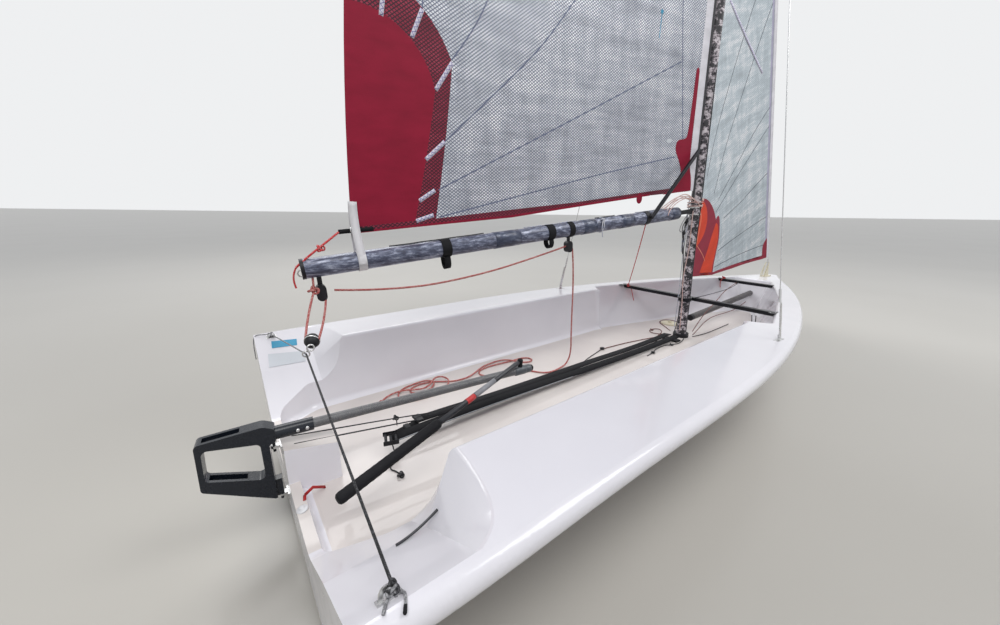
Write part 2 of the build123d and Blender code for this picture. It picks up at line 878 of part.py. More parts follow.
# Toe straps and the bracket that holds their front ends. The port strap lies flat and the
# starboard one is turned with its outer edge up.
# breadth of the centre, width, station of the aft end, tilt
strap_runs = [(29, 50, 440, 0), (-32, 46, 320, 22)]
strap_front_station = 2250
strap_thickness = 4
strap_front_rise = 32
strap_slope = 0.029
bracket_length = 50
bracket_half_width = 56
with BuildPart() as toe_straps:
    for breadth, width, aft_station, tilt in strap_runs:
        length = strap_front_station - aft_station
        front = at(strap_front_station, breadth, strap_front_rise - sole_drop)
        aft = at(aft_station, breadth, strap_front_rise - sole_drop + length * strap_slope)
        strap_run = (front - aft).normalized()
        with BuildSketch(
            Plane(
                origin=(front + aft) / 2,
                x_dir=strap_run,
                z_dir=strap_run.cross(port) * cos(radians(tilt)) + port * sin(radians(tilt)),
            )
        ):
            Rectangle((front - aft).length, width)
        extrude(amount=strap_thickness / 2, both=True)
save(toe_straps, "toe_straps")

bracket_height = strap_front_rise - bracket_half_width * sin(radians(strap_runs[1][3]))
with BuildPart() as strap_bracket:
    with Locations(at(strap_front_station, 0, -sole_drop)):
        Box(
            bracket_length,
            2 * bracket_half_width,
            bracket_height,
            align=(Align.CENTER, Align.CENTER, Align.MIN),
        )
save(strap_bracket, "strap_bracket")

# Inspection hatch beside the mast: a ring, and a lid with a knob
hatch_centre = at(2600, 195, -sole_drop)
hatch_ring_radius = 62
hatch_lid_radius = 50
hatch_height = 7
hatch_lid_lift = 2
hatch_knob_radius = 13
hatch_knob_height = 12
with BuildPart() as hatch_ring:
    with BuildSketch(Plane(origin=hatch_centre)):
        Circle(hatch_ring_radius)
        Circle(hatch_lid_radius + seat_clearance, mode=Mode.SUBTRACT)
    extrude(amount=hatch_height)
save(hatch_ring, "hatch_ring")

with BuildPart() as hatch_lid:
    with BuildSketch(Plane(origin=hatch_centre)):
        Circle(hatch_lid_radius)
    extrude(amount=hatch_height + hatch_lid_lift)
    with BuildSketch(Plane(origin=hatch_centre).offset(hatch_height + hatch_lid_lift)):
        Circle(hatch_knob_radius)
    extrude(amount=hatch_knob_height)
save(hatch_lid, "hatch_lid")

# Eyes at the quarters for the mainsheet bridle
eye_station = 65
eye_half_width = 712
eye_wire = 3
eye_ring_radius = 13
eye_base = (40, 18, 3)
with BuildPart() as bridle_eyes:
    for side in (1, -1):
        drop = tank_foot_drop - (eye_half_width - tank_foot_half_width) * dish_slope
        seat = Plane(
            origin=at(eye_station, side * eye_half_width, -drop),
            x_dir=(1, 0, 0),
            z_dir=(0, -side * dish_slope, 1),
        )
        with BuildSketch(seat):
            Rectangle(eye_base[0], eye_base[1])
        extrude(amount=eye_base[2])
        arch = Plane(origin=seat.origin + seat.z_dir * eye_base[2], x_dir=(1, 0, 0), z_dir=-seat.y_dir)
        with BuildSketch(arch):
            Circle(eye_ring_radius + eye_wire)
            Circle(eye_ring_radius - eye_wire, mode=Mode.SUBTRACT)
            with Locations((0, eye_ring_radius * 2)):
                Rectangle(4 * eye_ring_radius, 4 * eye_ring_radius, mode=Mode.INTERSECT)
        extrude(amount=eye_wire, both=True)
save(bridle_eyes, "bridle_eyes")

# Loose tail of the mainsheet, lying in loops on the port side of the sole.
# station, breadth to port, lift where it lies over itself
rope_radius = 4
rope_bend_share = 0.45
rope_route = [
    (1276, 106, 0), (1238, 103, 0), (1202, 114, 0), (1176, 142, 0), (1157, 174, 0),
    (1136, 206, 0), (1104, 226, 0), (1068, 237, 0), (1030, 240, 0), (992, 241, 0),
    (954, 247, 0), (923, 267, 0), (911, 302, 0), (932, 333, 0), (967, 346, 0), (1005, 350, 0),
    (1043, 349, 0), (1081, 346, 0), (1119, 341, 0), (1157, 339, 0), (1195, 339, 0),
    (1233, 334, 0), (1265, 316, 0), (1264, 281, 0), (1231, 267, 0), (1195, 280, 1.9),
    (1167, 305, 6.1), (1144, 336, 8.9), (1117, 362, 7.8), (1083, 377, 3.8), (1045, 380, 0.4),
    (1008, 373, 1.3), (972, 360, 4.1), (938, 341, 6.1), (905, 324, 5.4), (870, 310, 2.6),
    (832, 304, 0.3), (794, 305, 0), (758, 314, 0), (724, 333, 0), (694, 356, 0), (660, 372, 0),
    (622, 376, 0), (584, 372, 0), (552, 353, 0), (545, 318, 0), (575, 297, 0), (613, 296, 0.4),
    (649, 308, 3.8), (674, 336, 7.7), (667, 371, 8.7), (635, 389, 6), (597, 393, 1.8),
    (559, 390, 0), (523, 377, 0), (496, 351, 0), (482, 316, 0), (490, 279, 0), (517, 254, 0),
    (554, 244, 0), (592, 244, 0), (629, 249, 0), (667, 257, 0.5), (701, 272, 3.7),
    (730, 296, 7.2), (746, 330, 9.6), (733, 365, 13.6), (697, 370, 17), (668, 347, 16.8),
    (640, 321, 11.9), (604, 312, 8.1), (567, 322, 9.6), (533, 339, 11.4), (497, 352, 8.6),
    (460, 354, 3.7), (425, 340, 0.9), (399, 312, 0),
]
rope_points = [
    at(station, breadth, lift + rope_radius + seat_clearance - sole_drop)
    for station, breadth, lift in rope_route
]
rope_radii = []
for before, corner, after in zip(rope_points, rope_points[1:], rope_points[2:]):
    half_turn = radians((corner - before).get_angle(after - corner)) / 2
    run = min((corner - before).length, (after - corner).length)
    rope_radii.append(rope_bend_share * run / tan(half_turn))
print("mainsheet tail bend radii", min(rope_radii), max(rope_radii))
with BuildPart() as mainsheet_tail:
    with BuildLine() as rope_line:
        FilletPolyline(*rope_points, radius=rope_radii)
    with BuildSketch(Plane(origin=rope_line.line @ 0, z_dir=rope_line.line % 0)):
        Circle(rope_radius)
    sweep()
rope_length = sum(edge.length for edge in rope_line.edges())
rope_share = mainsheet_tail.part.volume / (3.14159265 * rope_radius**2 * rope_length)
print("mainsheet tail length", rope_length, "volume over section by length", rope_share)
save(mainsheet_tail, "mainsheet_tail")
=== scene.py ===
import math

import bmesh
import bpy
from mathutils import Matrix, Vector
from mathutils.bvhtree import BVHTree


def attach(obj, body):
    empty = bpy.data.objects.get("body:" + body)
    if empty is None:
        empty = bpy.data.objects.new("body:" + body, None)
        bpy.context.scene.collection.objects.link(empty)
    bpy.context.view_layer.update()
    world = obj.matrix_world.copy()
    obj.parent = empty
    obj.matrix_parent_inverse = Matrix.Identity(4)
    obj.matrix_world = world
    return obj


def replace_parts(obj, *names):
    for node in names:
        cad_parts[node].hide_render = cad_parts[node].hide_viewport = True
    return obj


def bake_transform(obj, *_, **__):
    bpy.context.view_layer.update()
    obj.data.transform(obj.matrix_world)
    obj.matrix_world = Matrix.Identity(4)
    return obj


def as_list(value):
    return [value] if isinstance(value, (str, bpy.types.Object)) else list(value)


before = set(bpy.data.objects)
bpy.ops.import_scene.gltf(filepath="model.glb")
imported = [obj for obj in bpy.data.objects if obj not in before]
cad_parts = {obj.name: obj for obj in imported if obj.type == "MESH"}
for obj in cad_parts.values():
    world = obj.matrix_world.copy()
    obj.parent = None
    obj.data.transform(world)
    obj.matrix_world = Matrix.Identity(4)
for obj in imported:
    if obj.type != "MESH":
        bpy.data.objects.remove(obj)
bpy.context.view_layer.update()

# Places are in metres, with X forward, Y to port and Z up, as in the CAD.
X_TRANSOM = -1.901338
SHEER = 0.420
SOLE = -0.275
HULL, BOOM, RUDDER = "hull_body", "boom_body", "rudder_body"
SIDES = ((-1, "starboard"), (1, "port"))
RAKE = math.radians(3.2)
SWING = math.radians(7.2)
DROOP = math.radians(2.5)
REST_TILLER = math.radians(6)
UP = Vector((0, 0, 1))
AHEAD = Vector((1, 0, 0))
PORT = Vector((0, 1, 0))


def at(station, y=0.0, rise=0.0):
    """Point at a station, a breadth to port and a rise above the sheer."""
    return Vector((X_TRANSOM + station, y, SHEER + rise))


MAST_UP = Vector((-math.sin(RAKE), 0, math.cos(RAKE)))
MAST_AFT = Vector((-math.cos(RAKE), 0, -math.sin(RAKE)))
MAST_FOOT = at(2.385, 0, SOLE)
BOOM_HEIGHT = 0.562
BOOM_RADIUS = 0.035
BOOM_REACH = (BOOM_HEIGHT - SOLE) / math.cos(RAKE)
PIVOT = MAST_FOOT + MAST_AFT * 0.044 + MAST_UP * BOOM_REACH
BOOM_AFT = MAST_AFT * math.cos(SWING) + PORT * math.sin(SWING)
BOOM_PORT = BOOM_AFT.cross(MAST_UP)
BOOM_RUN = BOOM_AFT * math.cos(DROOP) - MAST_UP * math.sin(DROOP)
BOOM_TOP = BOOM_PORT.cross(BOOM_RUN).normalized()
HOUNDS_REACH = 4.1
STAY_FOOT = at(3.84, 0, 0.1)
STAY_TOP = MAST_FOOT + MAST_UP * HOUNDS_REACH - MAST_AFT * 0.0396
STAY_UP = (STAY_TOP - STAY_FOOT).normalized()
STAY_AFT = STAY_UP.cross(PORT)
RUDDER_AHEAD = Vector((math.cos(REST_TILLER), -math.sin(REST_TILLER), 0))
PINTLE = at(-0.018)
TILLER_START = PINTLE + RUDDER_AHEAD * 0.008 - UP * 0.085
KNUCKLE = TILLER_START + RUDDER_AHEAD * 0.863 + UP * 0.040
EXTENSION_END = at(0.084, -0.275, -0.172)
EXTENSION_RUN = (EXTENSION_END - KNUCKLE).normalized()


def on_boom(reach, out=0.0, top=0.0):
    """Point at a reach along the boom's middle, out to port of it and above it."""
    return PIVOT + BOOM_RUN * reach + BOOM_PORT * out + BOOM_TOP * top


def in_sail_plane(u, v, out=0.0):
    """Point aft of the gooseneck and above it, in the plane the mainsail stands in."""
    return PIVOT + BOOM_AFT * u + MAST_UP * v + BOOM_PORT * out


def on_mast(height, aft=0.0, port=0.0):
    """Point at a height along the mast's middle, aft of it and to port."""
    return MAST_FOOT + MAST_UP * height + MAST_AFT * aft + PORT * port


# Camera at the photograph's viewpoint
CAMERA_PLACE = at(-0.060, -1.139, 0.550)
CAMERA_YAW = math.radians(52.59)
CAMERA_PITCH = math.radians(14.69)
CAMERA_ROLL = math.radians(0.67)
SENSOR = 36.0
FOCAL_PIXELS = 364.6
PHOTO_WIDTH = 1000
FOCAL = FOCAL_PIXELS / PHOTO_WIDTH * SENSOR
SHIFT_Y = -0.0065


def make_camera():
    level = Vector((math.cos(CAMERA_YAW), math.sin(CAMERA_YAW), 0))
    right = Vector((math.sin(CAMERA_YAW), -math.cos(CAMERA_YAW), 0))
    ahead = level * math.cos(CAMERA_PITCH) - UP * math.sin(CAMERA_PITCH)
    above = level * math.sin(CAMERA_PITCH) + UP * math.cos(CAMERA_PITCH)
    x_dir = right * math.cos(CAMERA_ROLL) + above * math.sin(CAMERA_ROLL)
    y_dir = above * math.cos(CAMERA_ROLL) - right * math.sin(CAMERA_ROLL)
    data = bpy.data.cameras.new("camera")
    data.sensor_fit = "HORIZONTAL"
    data.sensor_width = SENSOR
    data.lens = FOCAL
    data.shift_y = SHIFT_Y
    data.clip_start = 0.01
    data.clip_end = 100
    camera = bpy.data.objects.new("camera", data)
    turn = Matrix((x_dir, y_dir, -ahead)).transposed().to_4x4()
    camera.matrix_world = Matrix.Translation(CAMERA_PLACE) @ turn
    bpy.context.scene.collection.objects.link(camera)
    bpy.context.scene.camera = camera


# Material tools
def darker(color, share):
    return tuple(c * (1 - share) for c in color)


def lighter(color, share):
    return tuple(min(1, c * (1 + share)) for c in color)


class Nodes:
    """A principled material with short calls for its nodes."""

    def __init__(self, name, color, rough=0.5, metallic=0.0, coat=0.0, specular=0.5):
        self.mat = bpy.data.materials.new(name)
        self.mat.use_nodes = True
        self.tree = self.mat.node_tree
        self.shader = self.tree.nodes["Principled BSDF"]
        self.put(self.shader, "Base Color", color)
        self.put(self.shader, "Roughness", rough)
        self.put(self.shader, "Metallic", metallic)
        self.put(self.shader, "Coat Weight", coat)
        self.put(self.shader, "Specular IOR Level", specular)
        self.coords = self.tree.nodes.new("ShaderNodeTexCoord").outputs

    def add(self, kind, **inputs):
        node = self.tree.nodes.new("ShaderNode" + kind)
        for key, value in inputs.items():
            self.put(node, key.replace("_", " "), value)
        return node

    def put(self, node, key, value):
        """Links an input to another node's output, or sets its value."""
        socket = node.inputs[key]
        if isinstance(value, bpy.types.NodeSocket):
            self.tree.links.new(value, socket)
        elif socket.type == "RGBA":
            socket.default_value = (*value, 1)
        else:
            socket.default_value = value

    def place(self, scale=(1, 1, 1), source="Object", turn=(0, 0, 0)):
        return self.add("Mapping", Vector=self.coords[source], Scale=scale, Rotation=turn).outputs["Vector"]

    def axis(self, letter, source="Object"):
        return self.add("SeparateXYZ", Vector=self.coords[source]).outputs[letter]

    def noise(self, scale, detail=4, rough=0.55, vector=None):
        vector = vector or self.coords["Object"]
        return self.add("TexNoise", Scale=scale, Detail=detail, Roughness=rough, Vector=vector).outputs["Fac"]

    def math(self, operation, first, second=0.0, kind="Math"):
        node = self.add(kind)
        node.operation = operation
        self.put(node, 0, first)
        self.put(node, 1, second)
        return node.outputs["Value" if operation == "DOT_PRODUCT" else 0]

    def ramp(self, value, stops, sharp=False):
        node = self.add("ValToRGB", Fac=value)
        node.color_ramp.interpolation = "CONSTANT" if sharp else "LINEAR"
        while len(node.color_ramp.elements) < len(stops):
            node.color_ramp.elements.new(0.5)
        for element, (place, color) in zip(node.color_ramp.elements, stops):
            element.position = place
            element.color = (*color, 1)
        return node.outputs["Color"]

    def mix(self, factor, first, second):
        node = self.add("Mix")
        node.data_type = "RGBA"
        for key, value in ((0, factor), (6, first), (7, second)):
            self.put(node, key, value)
        return node.outputs[2]

    def color(self, value):
        self.put(self.shader, "Base Color", value)

    def mottle(self, value, color, dark, light, low=0.3, high=0.7):
        """Sets a colour that changes between a darker and a lighter tone of itself."""
        self.color(self.ramp(value, [(low, darker(color, dark)), (high, lighter(color, light))]))

    def roughness(self, value, low, high):
        node = self.add("MapRange", Value=value, To_Min=low, To_Max=high)
        self.put(self.shader, "Roughness", node.outputs["Result"])

    def bump(self, height, strength, distance):
        node = self.add("Bump", Height=height, Strength=strength, Distance=distance)
        self.put(self.shader, "Normal", node.outputs["Normal"])


def grained(name, color, rough, metallic=0.0, vary=0.12, bump=0.0004, coat=0.0, scale=60):
    """A plain finish with fine mottling, uneven gloss and a faint grain."""
    n = Nodes(name, color, rough, metallic, coat, 0.25 if max(color) < 0.05 else 0.5)
    n.mottle(n.noise(scale / 8), color, vary, vary)
    n.roughness(n.noise(scale), max(0.03, rough - 0.08), min(1, rough + 0.1))
    n.bump(n.noise(scale * 6), 0.25, bump)
    return n.mat


def speckled(name, color, fleck, rough=0.4):
    """Worn satin tube with fine light flecks and a woven sheen."""
    n = Nodes(name, color, rough, 0.1, 0.15)
    fine = n.noise(900, 2, 0.7)
    mottled = n.ramp(n.noise(35), [(0.3, darker(color, 0.2)), (0.7, lighter(color, 0.2))])
    n.color(n.mix(n.math("GREATER_THAN", fine, 0.58), mottled, fleck))
    n.roughness(n.noise(60), rough - 0.1, rough + 0.12)
    n.bump(fine, 0.3, 0.0004)
    return n.mat


def hull_gloss():
    """Moulded skin: glossy lilac white outside, a warmer non-slip grain on the flat sole."""
    n = Nodes("hull_gloss", (0.80, 0.78, 0.84), 0.16, coat=0.4)
    low = n.math("LESS_THAN", n.axis("Z"), 0.30)
    flat = n.math("GREATER_THAN", n.axis("Z", "Normal"), 0.96)
    sole = n.math("MULTIPLY", low, flat)
    cloud = n.ramp(n.noise(2.2, 3), [(0.3, (0.76, 0.745, 0.79)), (0.7, (0.82, 0.805, 0.845))])
    warm = n.ramp(n.noise(3.0, 3), [(0.3, (0.60, 0.55, 0.53)), (0.7, (0.68, 0.63, 0.60))])
    n.color(n.mix(sole, cloud, warm))
    uneven = n.math("MULTIPLY", n.noise(9), 0.4)
    n.roughness(n.math("ADD", n.math("MULTIPLY", sole, 0.6), uneven), 0.10, 0.45)
    grip = n.math("MULTIPLY", n.noise(420, 2), sole)
    n.bump(n.math("ADD", grip, n.math("MULTIPLY", n.noise(14, 2), 0.4)), 0.3, 0.0007)
    return n.mat


TRACK_REACH = 0.031
TRACK_COLOR = (0.03, 0.03, 0.035)


def camo(name, colors, along, scale, stops, track=False):
    """Blotched wrap on a spar. The blotches are drawn out along the spar."""
    n = Nodes(name, colors[0], 0.38, 0.15, 0.3)
    turn = Vector(along).to_track_quat("X", "Z").inverted().to_euler()
    place = n.place(scale, turn=turn)
    blotch = n.noise(1.4, 6, 0.75, place)
    patches = list(zip((0.0, *stops), colors))
    skin = n.mix(0.45, n.ramp(blotch, patches, True), n.ramp(blotch, patches))
    streak = n.math("MULTIPLY", n.noise(8, 4, 0.8, place), 0.40)
    base = n.mix(streak, skin, colors[1])
    if track:
        gap = n.math("SUBTRACT", n.coords["Object"], MAST_FOOT, "VectorMath")
        reach = n.math("DOT_PRODUCT", gap, MAST_AFT, "VectorMath")
        base = n.mix(n.math("GREATER_THAN", reach, TRACK_REACH), base, TRACK_COLOR)
    n.color(base)
    n.roughness(n.noise(40), 0.28, 0.5)
    n.bump(n.noise(260, 2), 0.2, 0.0004)
    return n.mat


def woven(name, color, vary=0.25):
    """Woven webbing or tape."""
    pitch = 0.0022
    n = Nodes(name, color, 0.75, specular=0.2)
    ribs = n.add("TexWave", Scale=1 / pitch / 6.3, Distortion=1.2, Detail=1.0, Vector=n.coords["Object"])
    weave = n.math("MULTIPLY", ribs.outputs["Fac"], n.noise(90))
    n.color(n.mix(weave, darker(color, vary), lighter(color, vary)))
    n.bump(ribs.outputs["Fac"], 0.5, 0.0006)
    return n.mat


def roped(name, first, second, share=0.5, scale=420):
    """Braided rope with flecks of a second colour."""
    n = Nodes(name, first, 0.8)
    cells = n.add("TexVoronoi", Scale=scale, Vector=n.coords["Object"])
    flecks = n.add("SeparateColor", Color=cells.outputs["Color"])
    braid = n.ramp(flecks.outputs[0], [(0.0, first), (share, second)], True)
    n.color(n.mix(n.math("MULTIPLY", n.noise(30), 0.35), braid, darker(first, 0.4)))
    n.bump(cells.outputs["Distance"], 0.6, 0.0008)
    return n.mat


def mylar(name, thread_color, tint, cover, pitch=0.0105, glint=(0.90, 0.91, 0.93)):
    """Silver mylar with a scrim of crossed threads and creases. The crease ramp paints shade into their
    hollows and bright highlight streaks along their ridges.
    """
    n = Nodes(name, tint, 0.30, 0.30)
    threads = 0.0
    for angle in (35, -35):
        place = n.place((1 / pitch, 1 / pitch, 1), "UV", (0, 0, math.radians(angle)))
        across = n.add("SeparateXYZ", Vector=place).outputs["Y"]
        thread = n.math("LESS_THAN", n.math("PINGPONG", across, 0.5), cover / 2)
        threads = n.math("MAXIMUM", threads, thread)
    slant = n.place((1.2, 8, 1), "UV", (0, 0, math.radians(58)))
    slack = n.place((6, 1.3, 1), "UV", (0, 0, math.radians(20)))
    steep = n.math("MULTIPLY", n.noise(2.0, 7, 0.7, slant), 0.6)
    crease = n.math("ADD", steep, n.math("MULTIPLY", n.noise(2.4, 6, 0.7, slack), 0.4))
    # painted shade: the crease hollows get a darker tint; painted highlight: the crease ridges get the glint
    # colour
    film_with_painted_crease_light = n.ramp(crease, [(0.38, darker(tint, 0.36)), (0.50, tint), (0.58, glint)])
    n.color(n.mix(threads, film_with_painted_crease_light, thread_color))
    n.roughness(crease, 0.22, 0.5)
    n.bump(crease, 0.4, 0.004)
    return n.mat


def film_panel(name, *color):
    """Coloured sail panel, slightly creased, with a fine scrim."""
    n = Nodes(name, color, 0.5, specular=0.2)
    fine = n.noise(420, 2, 0.6, n.place((1, 1, 1), "UV"))
    broad = n.noise(7, 4, 0.6, n.place((1, 2.5, 1), "UV"))
    blend = n.math("ADD", n.math("MULTIPLY", fine, 0.5), n.math("MULTIPLY", broad, 0.5))
    n.mottle(blend, color, 0.14, 0.12, 0.4, 0.6)
    n.bump(broad, 0.3, 0.003)
    return n.mat


STITCH_WIDTH = 0.016
STITCH_THICKNESS = 0.0026
THREAD_HALF = 0.0017


def zigzag(name, base, thread, pitch, height):
    """Tape held by a zigzag of thread. U runs along the tape and V round it, in metres."""
    n = Nodes(name, base, 0.6)
    along = n.math("PINGPONG", n.axis("X", "UV"), pitch / 2)
    slope = n.math("MULTIPLY", along, height / (pitch / 2))
    low = (STITCH_WIDTH - height) / 2
    across = n.math("MODULO", n.axis("Y", "UV"), STITCH_WIDTH + STITCH_THICKNESS)
    gap = n.math("ABSOLUTE", n.math("SUBTRACT", across, n.math("ADD", slope, low)))
    stitch = n.math("LESS_THAN", gap, THREAD_HALF)
    n.color(n.mix(stitch, base, thread))
    n.bump(stitch, 0.6, 0.0006)
    return n.mat


MAST_TINTS = [(0.012, 0.012, 0.014), (0.035, 0.033, 0.040), (0.36, 0.30, 0.34), (0.80, 0.74, 0.78)]
BOOM_TINTS = [(0.022, 0.025, 0.045), (0.060, 0.068, 0.115), (0.15, 0.17, 0.25), (0.42, 0.45, 0.56)]
TAPE_TINTS = [(0.012, 0.016, 0.035), (0.03, 0.04, 0.08), (0.09, 0.11, 0.17), (0.30, 0.33, 0.42)]
MAT = {"hull": hull_gloss()}


def finishes(maker, **rows):
    """Makes the materials of one kind, from what each passes to its maker."""
    for name, values in rows.items():
        MAT[name] = maker(name, *values)


finishes(
    camo,
    mast=(MAST_TINTS, MAST_UP, (15, 24, 24), (0.47, 0.51, 0.54), True),
    boom=(BOOM_TINTS, BOOM_RUN, (14, 70, 70), (0.44, 0.52, 0.60)),
    navy_tape=(TAPE_TINTS, BOOM_RUN, (12, 40, 40), (0.46, 0.56, 0.64)),
)
finishes(
    grained,
    dark=((0.014, 0.014, 0.017), 0.42),
    black_bar=((0.02, 0.02, 0.024), 0.3, 0.6),
    steel=((0.62, 0.62, 0.62), 0.25, 1.0, 0.05, 0.0001),
    cream=((0.70, 0.65, 0.50), 0.35, 0, 0.06),
    frame_black=((0.008, 0.011, 0.018), 0.26, 0, 0.12, 0.0004, 0.35),
    end_block=((0.10, 0.11, 0.12), 0.35, 0.3),
    rubber=((0.008, 0.008, 0.010), 0.75, 0, 0.12, 0.0015),
    blue=((0.02, 0.30, 0.50), 0.3),
    plate=((0.60, 0.63, 0.67), 0.3, 0, 0.04),
    pale_label=((0.24, 0.24, 0.26), 0.4, 0, 0.15, 0.0004, 0, 300),
    red_band=((0.50, 0.03, 0.03), 0.4),
    bung=((0.70, 0.70, 0.72), 0.3, 0, 0.04),
)
finishes(
    speckled,
    carbon=((0.095, 0.095, 0.10), (0.24, 0.24, 0.24)),
    dark_tube=((0.016, 0.017, 0.022), (0.05, 0.05, 0.06), 0.35),
    sprit=((0.040, 0.036, 0.036), (0.12, 0.10, 0.10)),
)
finishes(
    woven,
    black_web=((0.009, 0.009, 0.011),),
    white_web=((0.74, 0.73, 0.75), 0.10),
    grey_web=((0.34, 0.35, 0.37), 0.2),
    red_web=((0.42, 0.03, 0.03), 0.2),
)
finishes(
    mylar,
    main_film=((0.13, 0.15, 0.22), (0.70, 0.72, 0.76), 0.30),
    jib_film=((0.30, 0.36, 0.42), (0.60, 0.67, 0.71), 0.20, 0.010),
    # maroon_scrim's last colour is its painted glint, a maroon highlight on the crease ridges
    maroon_scrim=((0.030, 0.004, 0.014), (0.27, 0.016, 0.045), 0.34, 0.0105, (0.34, 0.035, 0.07)),
)
finishes(
    film_panel,
    maroon=(0.27, 0.010, 0.034),
    orange=(0.66, 0.050, 0.014),
    petal_pale=(0.72, 0.25, 0.16),
    white_tape=(0.74, 0.73, 0.78),
    lilac_tape=(0.44, 0.42, 0.56),
    seam=(0.13, 0.15, 0.24),
    dark_seam=(0.07, 0.08, 0.11),
)
finishes(zigzag, stitch=((0.66, 0.64, 0.74), (0.10, 0.09, 0.34), 0.018, 0.012))
finishes(
    roped,
    red_rope=((0.40, 0.075, 0.070), (0.60, 0.33, 0.30), 0.62),
    brown_rope=((0.12, 0.045, 0.042), (0.34, 0.19, 0.17), 0.65, 500),
    bright_rope=((0.55, 0.025, 0.03), (0.72, 0.20, 0.20), 0.7),
    pink_rope=((0.62, 0.36, 0.33), (0.78, 0.66, 0.62)),
    grey_rope=((0.20, 0.20, 0.21), (0.42, 0.42, 0.43), 0.6, 500),
    white_rope=((0.66, 0.66, 0.68), (0.30, 0.36, 0.55), 0.72),
    black_rope=((0.018, 0.018, 0.020), (0.09, 0.09, 0.10), 0.75, 520),
    cream_rope=((0.66, 0.62, 0.46), (0.46, 0.42, 0.30), 0.7),
)

# Which CAD nodes wear which material
NODE_MATERIALS = {
    "hull": "hull",
    "mast": "mast",
    "boom": "boom",
    "dark": "mast_step boom_caps strut_band mainsheet_blocks gooseneck_eye strap_bracket bowsprit_heel",
    "black_bar": "mast_bar bow_bar boom_strut",
    "steel": "hounds_band forestay shrouds shroud_adjusters chainplates gooseneck_bracket gudgeons"
             " bridle_eyes",
    "cream": "bow_fitting hatch_ring hatch_lid",
    "frame_black": "rudder_head tiller_socket",
    "carbon": "tiller",
    "sprit": "bowsprit",
    "rubber": "extension_joint",
    "black_web": "boom_bands",
    "white_web": "clew_strap",
}


def dress_nodes():
    for key, names in NODE_MATERIALS.items():
        for name in names.split():
            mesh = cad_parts[name].data
            if not mesh.materials:
                mesh.materials.append(MAT[key])
            for i in range(len(mesh.materials)):
                mesh.materials[i] = MAT[key]


# Mesh tools
SPLINE_STEPS = 6
KNOT_STEPS = 36
ROUND_SIDES = 28
WIRE_SIDES = 8


def add_object(name, data, material, body):
    piece = bpy.data.objects.new(name, data)
    bpy.context.scene.collection.objects.link(piece)
    data.materials.append(MAT[material])
    if body:
        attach(piece, body)
    return piece


def finish_mesh(name, bm, material, body, smooth=True):
    bmesh.ops.recalc_face_normals(bm, faces=bm.faces)
    for face in bm.faces:
        face.smooth = smooth and len(face.verts) < 5
    mesh = bpy.data.meshes.new(name)
    bm.to_mesh(mesh)
    bm.free()
    return add_object(name, mesh, material, body)


def spline(name, points, radius=0.0):
    """Smooth open curve with the points as its control points."""
    data = bpy.data.curves.new(name, "CURVE")
    data.dimensions = "3D"
    data.resolution_u = SPLINE_STEPS
    data.bevel_depth = radius
    data.bevel_resolution = 3
    data.use_fill_caps = True
    line = data.splines.new("NURBS")
    line.points.add(len(points) - 1)
    for point, place in zip(line.points, points):
        point.co = (*place, 1)
    line.order_u = 3
    line.use_endpoint_u = True
    return data


def follow(points):
    """Points read from the smooth curve through a route."""
    route = [Vector(p).to_3d() for p in points]
    if len(route) < 3:
        return route
    holder = bpy.data.objects.new("route", spline("route", route))
    mesh = bpy.data.meshes.new_from_object(holder)
    line = [v.co.copy() for v in mesh.vertices]
    bpy.data.meshes.remove(mesh)
    bpy.data.objects.remove(holder)
    return line


def rope(name, points, radius, material, body=HULL):
    """Curved line of rope or cord, as a curve."""
    return add_object(name, spline(name, points, radius), material, body)


def laid(name, radius, material, place, *points, body=HULL):
    """Rope through points that a placing call puts on the boat."""
    return rope(name, [place(*p) for p in points], radius, material, body)


def sweep(name, line, section, material, body=HULL, hint=None, closed=False):
    """A section carried along a line. U runs along it and V round it, in metres."""
    bm = bmesh.new()
    uv = bm.loops.layers.uv.new("UVMap")
    count, sides = len(line), len(section)
    side = (line[1] - line[0]).normalized().orthogonal().normalized()
    rings = []
    travel = [0.0]
    for i, p in enumerate(line):
        ahead = line[(i + 1) % count] if closed else line[min(i + 1, count - 1)]
        behind = line[i - 1] if closed or i else line[0]
        run = (ahead - behind).normalized()
        if hint:
            side = run.cross(hint).normalized()
        side = (side - run * side.dot(run)).normalized()
        other = side.cross(run)
        rings.append([bm.verts.new(p + side * a + other * b) for a, b in section])
        if i:
            travel.append(travel[-1] + (p - line[i - 1]).length)
    if closed:
        rings.append(rings[0])
        travel.append(travel[-1] + (line[0] - line[-1]).length)
    round_way = [0.0]
    for (a, b), (c, d) in zip(section, section[1:] + section[:1]):
        round_way.append(round_way[-1] + math.hypot(c - a, d - b))
    for i, (low, high) in enumerate(zip(rings, rings[1:])):
        for k in range(sides):
            face = bm.faces.new((low[k], low[(k + 1) % sides], high[(k + 1) % sides], high[k]))
            corners = ((i, k), (i, k + 1), (i + 1, k + 1), (i + 1, k))
            for loop, (step, turn) in zip(face.loops, corners):
                loop[uv].uv = (travel[step], round_way[turn])
    if not closed:
        bm.faces.new(rings[0][::-1])
        bm.faces.new(rings[-1])
    return finish_mesh(name, bm, material, body)


def circle(radius, sides=10):
    angles = [2 * math.pi * k / sides for k in range(sides)]
    return [(radius * math.cos(t), radius * math.sin(t)) for t in angles]


def tube(name, points, radius, material, body=HULL):
    """Round tube along the smooth curve of a route."""
    return sweep(name, follow(points), circle(radius), material, body)


def strap(name, points, width, thickness, material, hint, body=HULL):
    """Flat strap whose flat side faces the hint."""
    w, t = width / 2, thickness / 2
    return sweep(name, follow(points), [(-w, -t), (w, -t), (w, t), (-w, t)], material, body, hint)


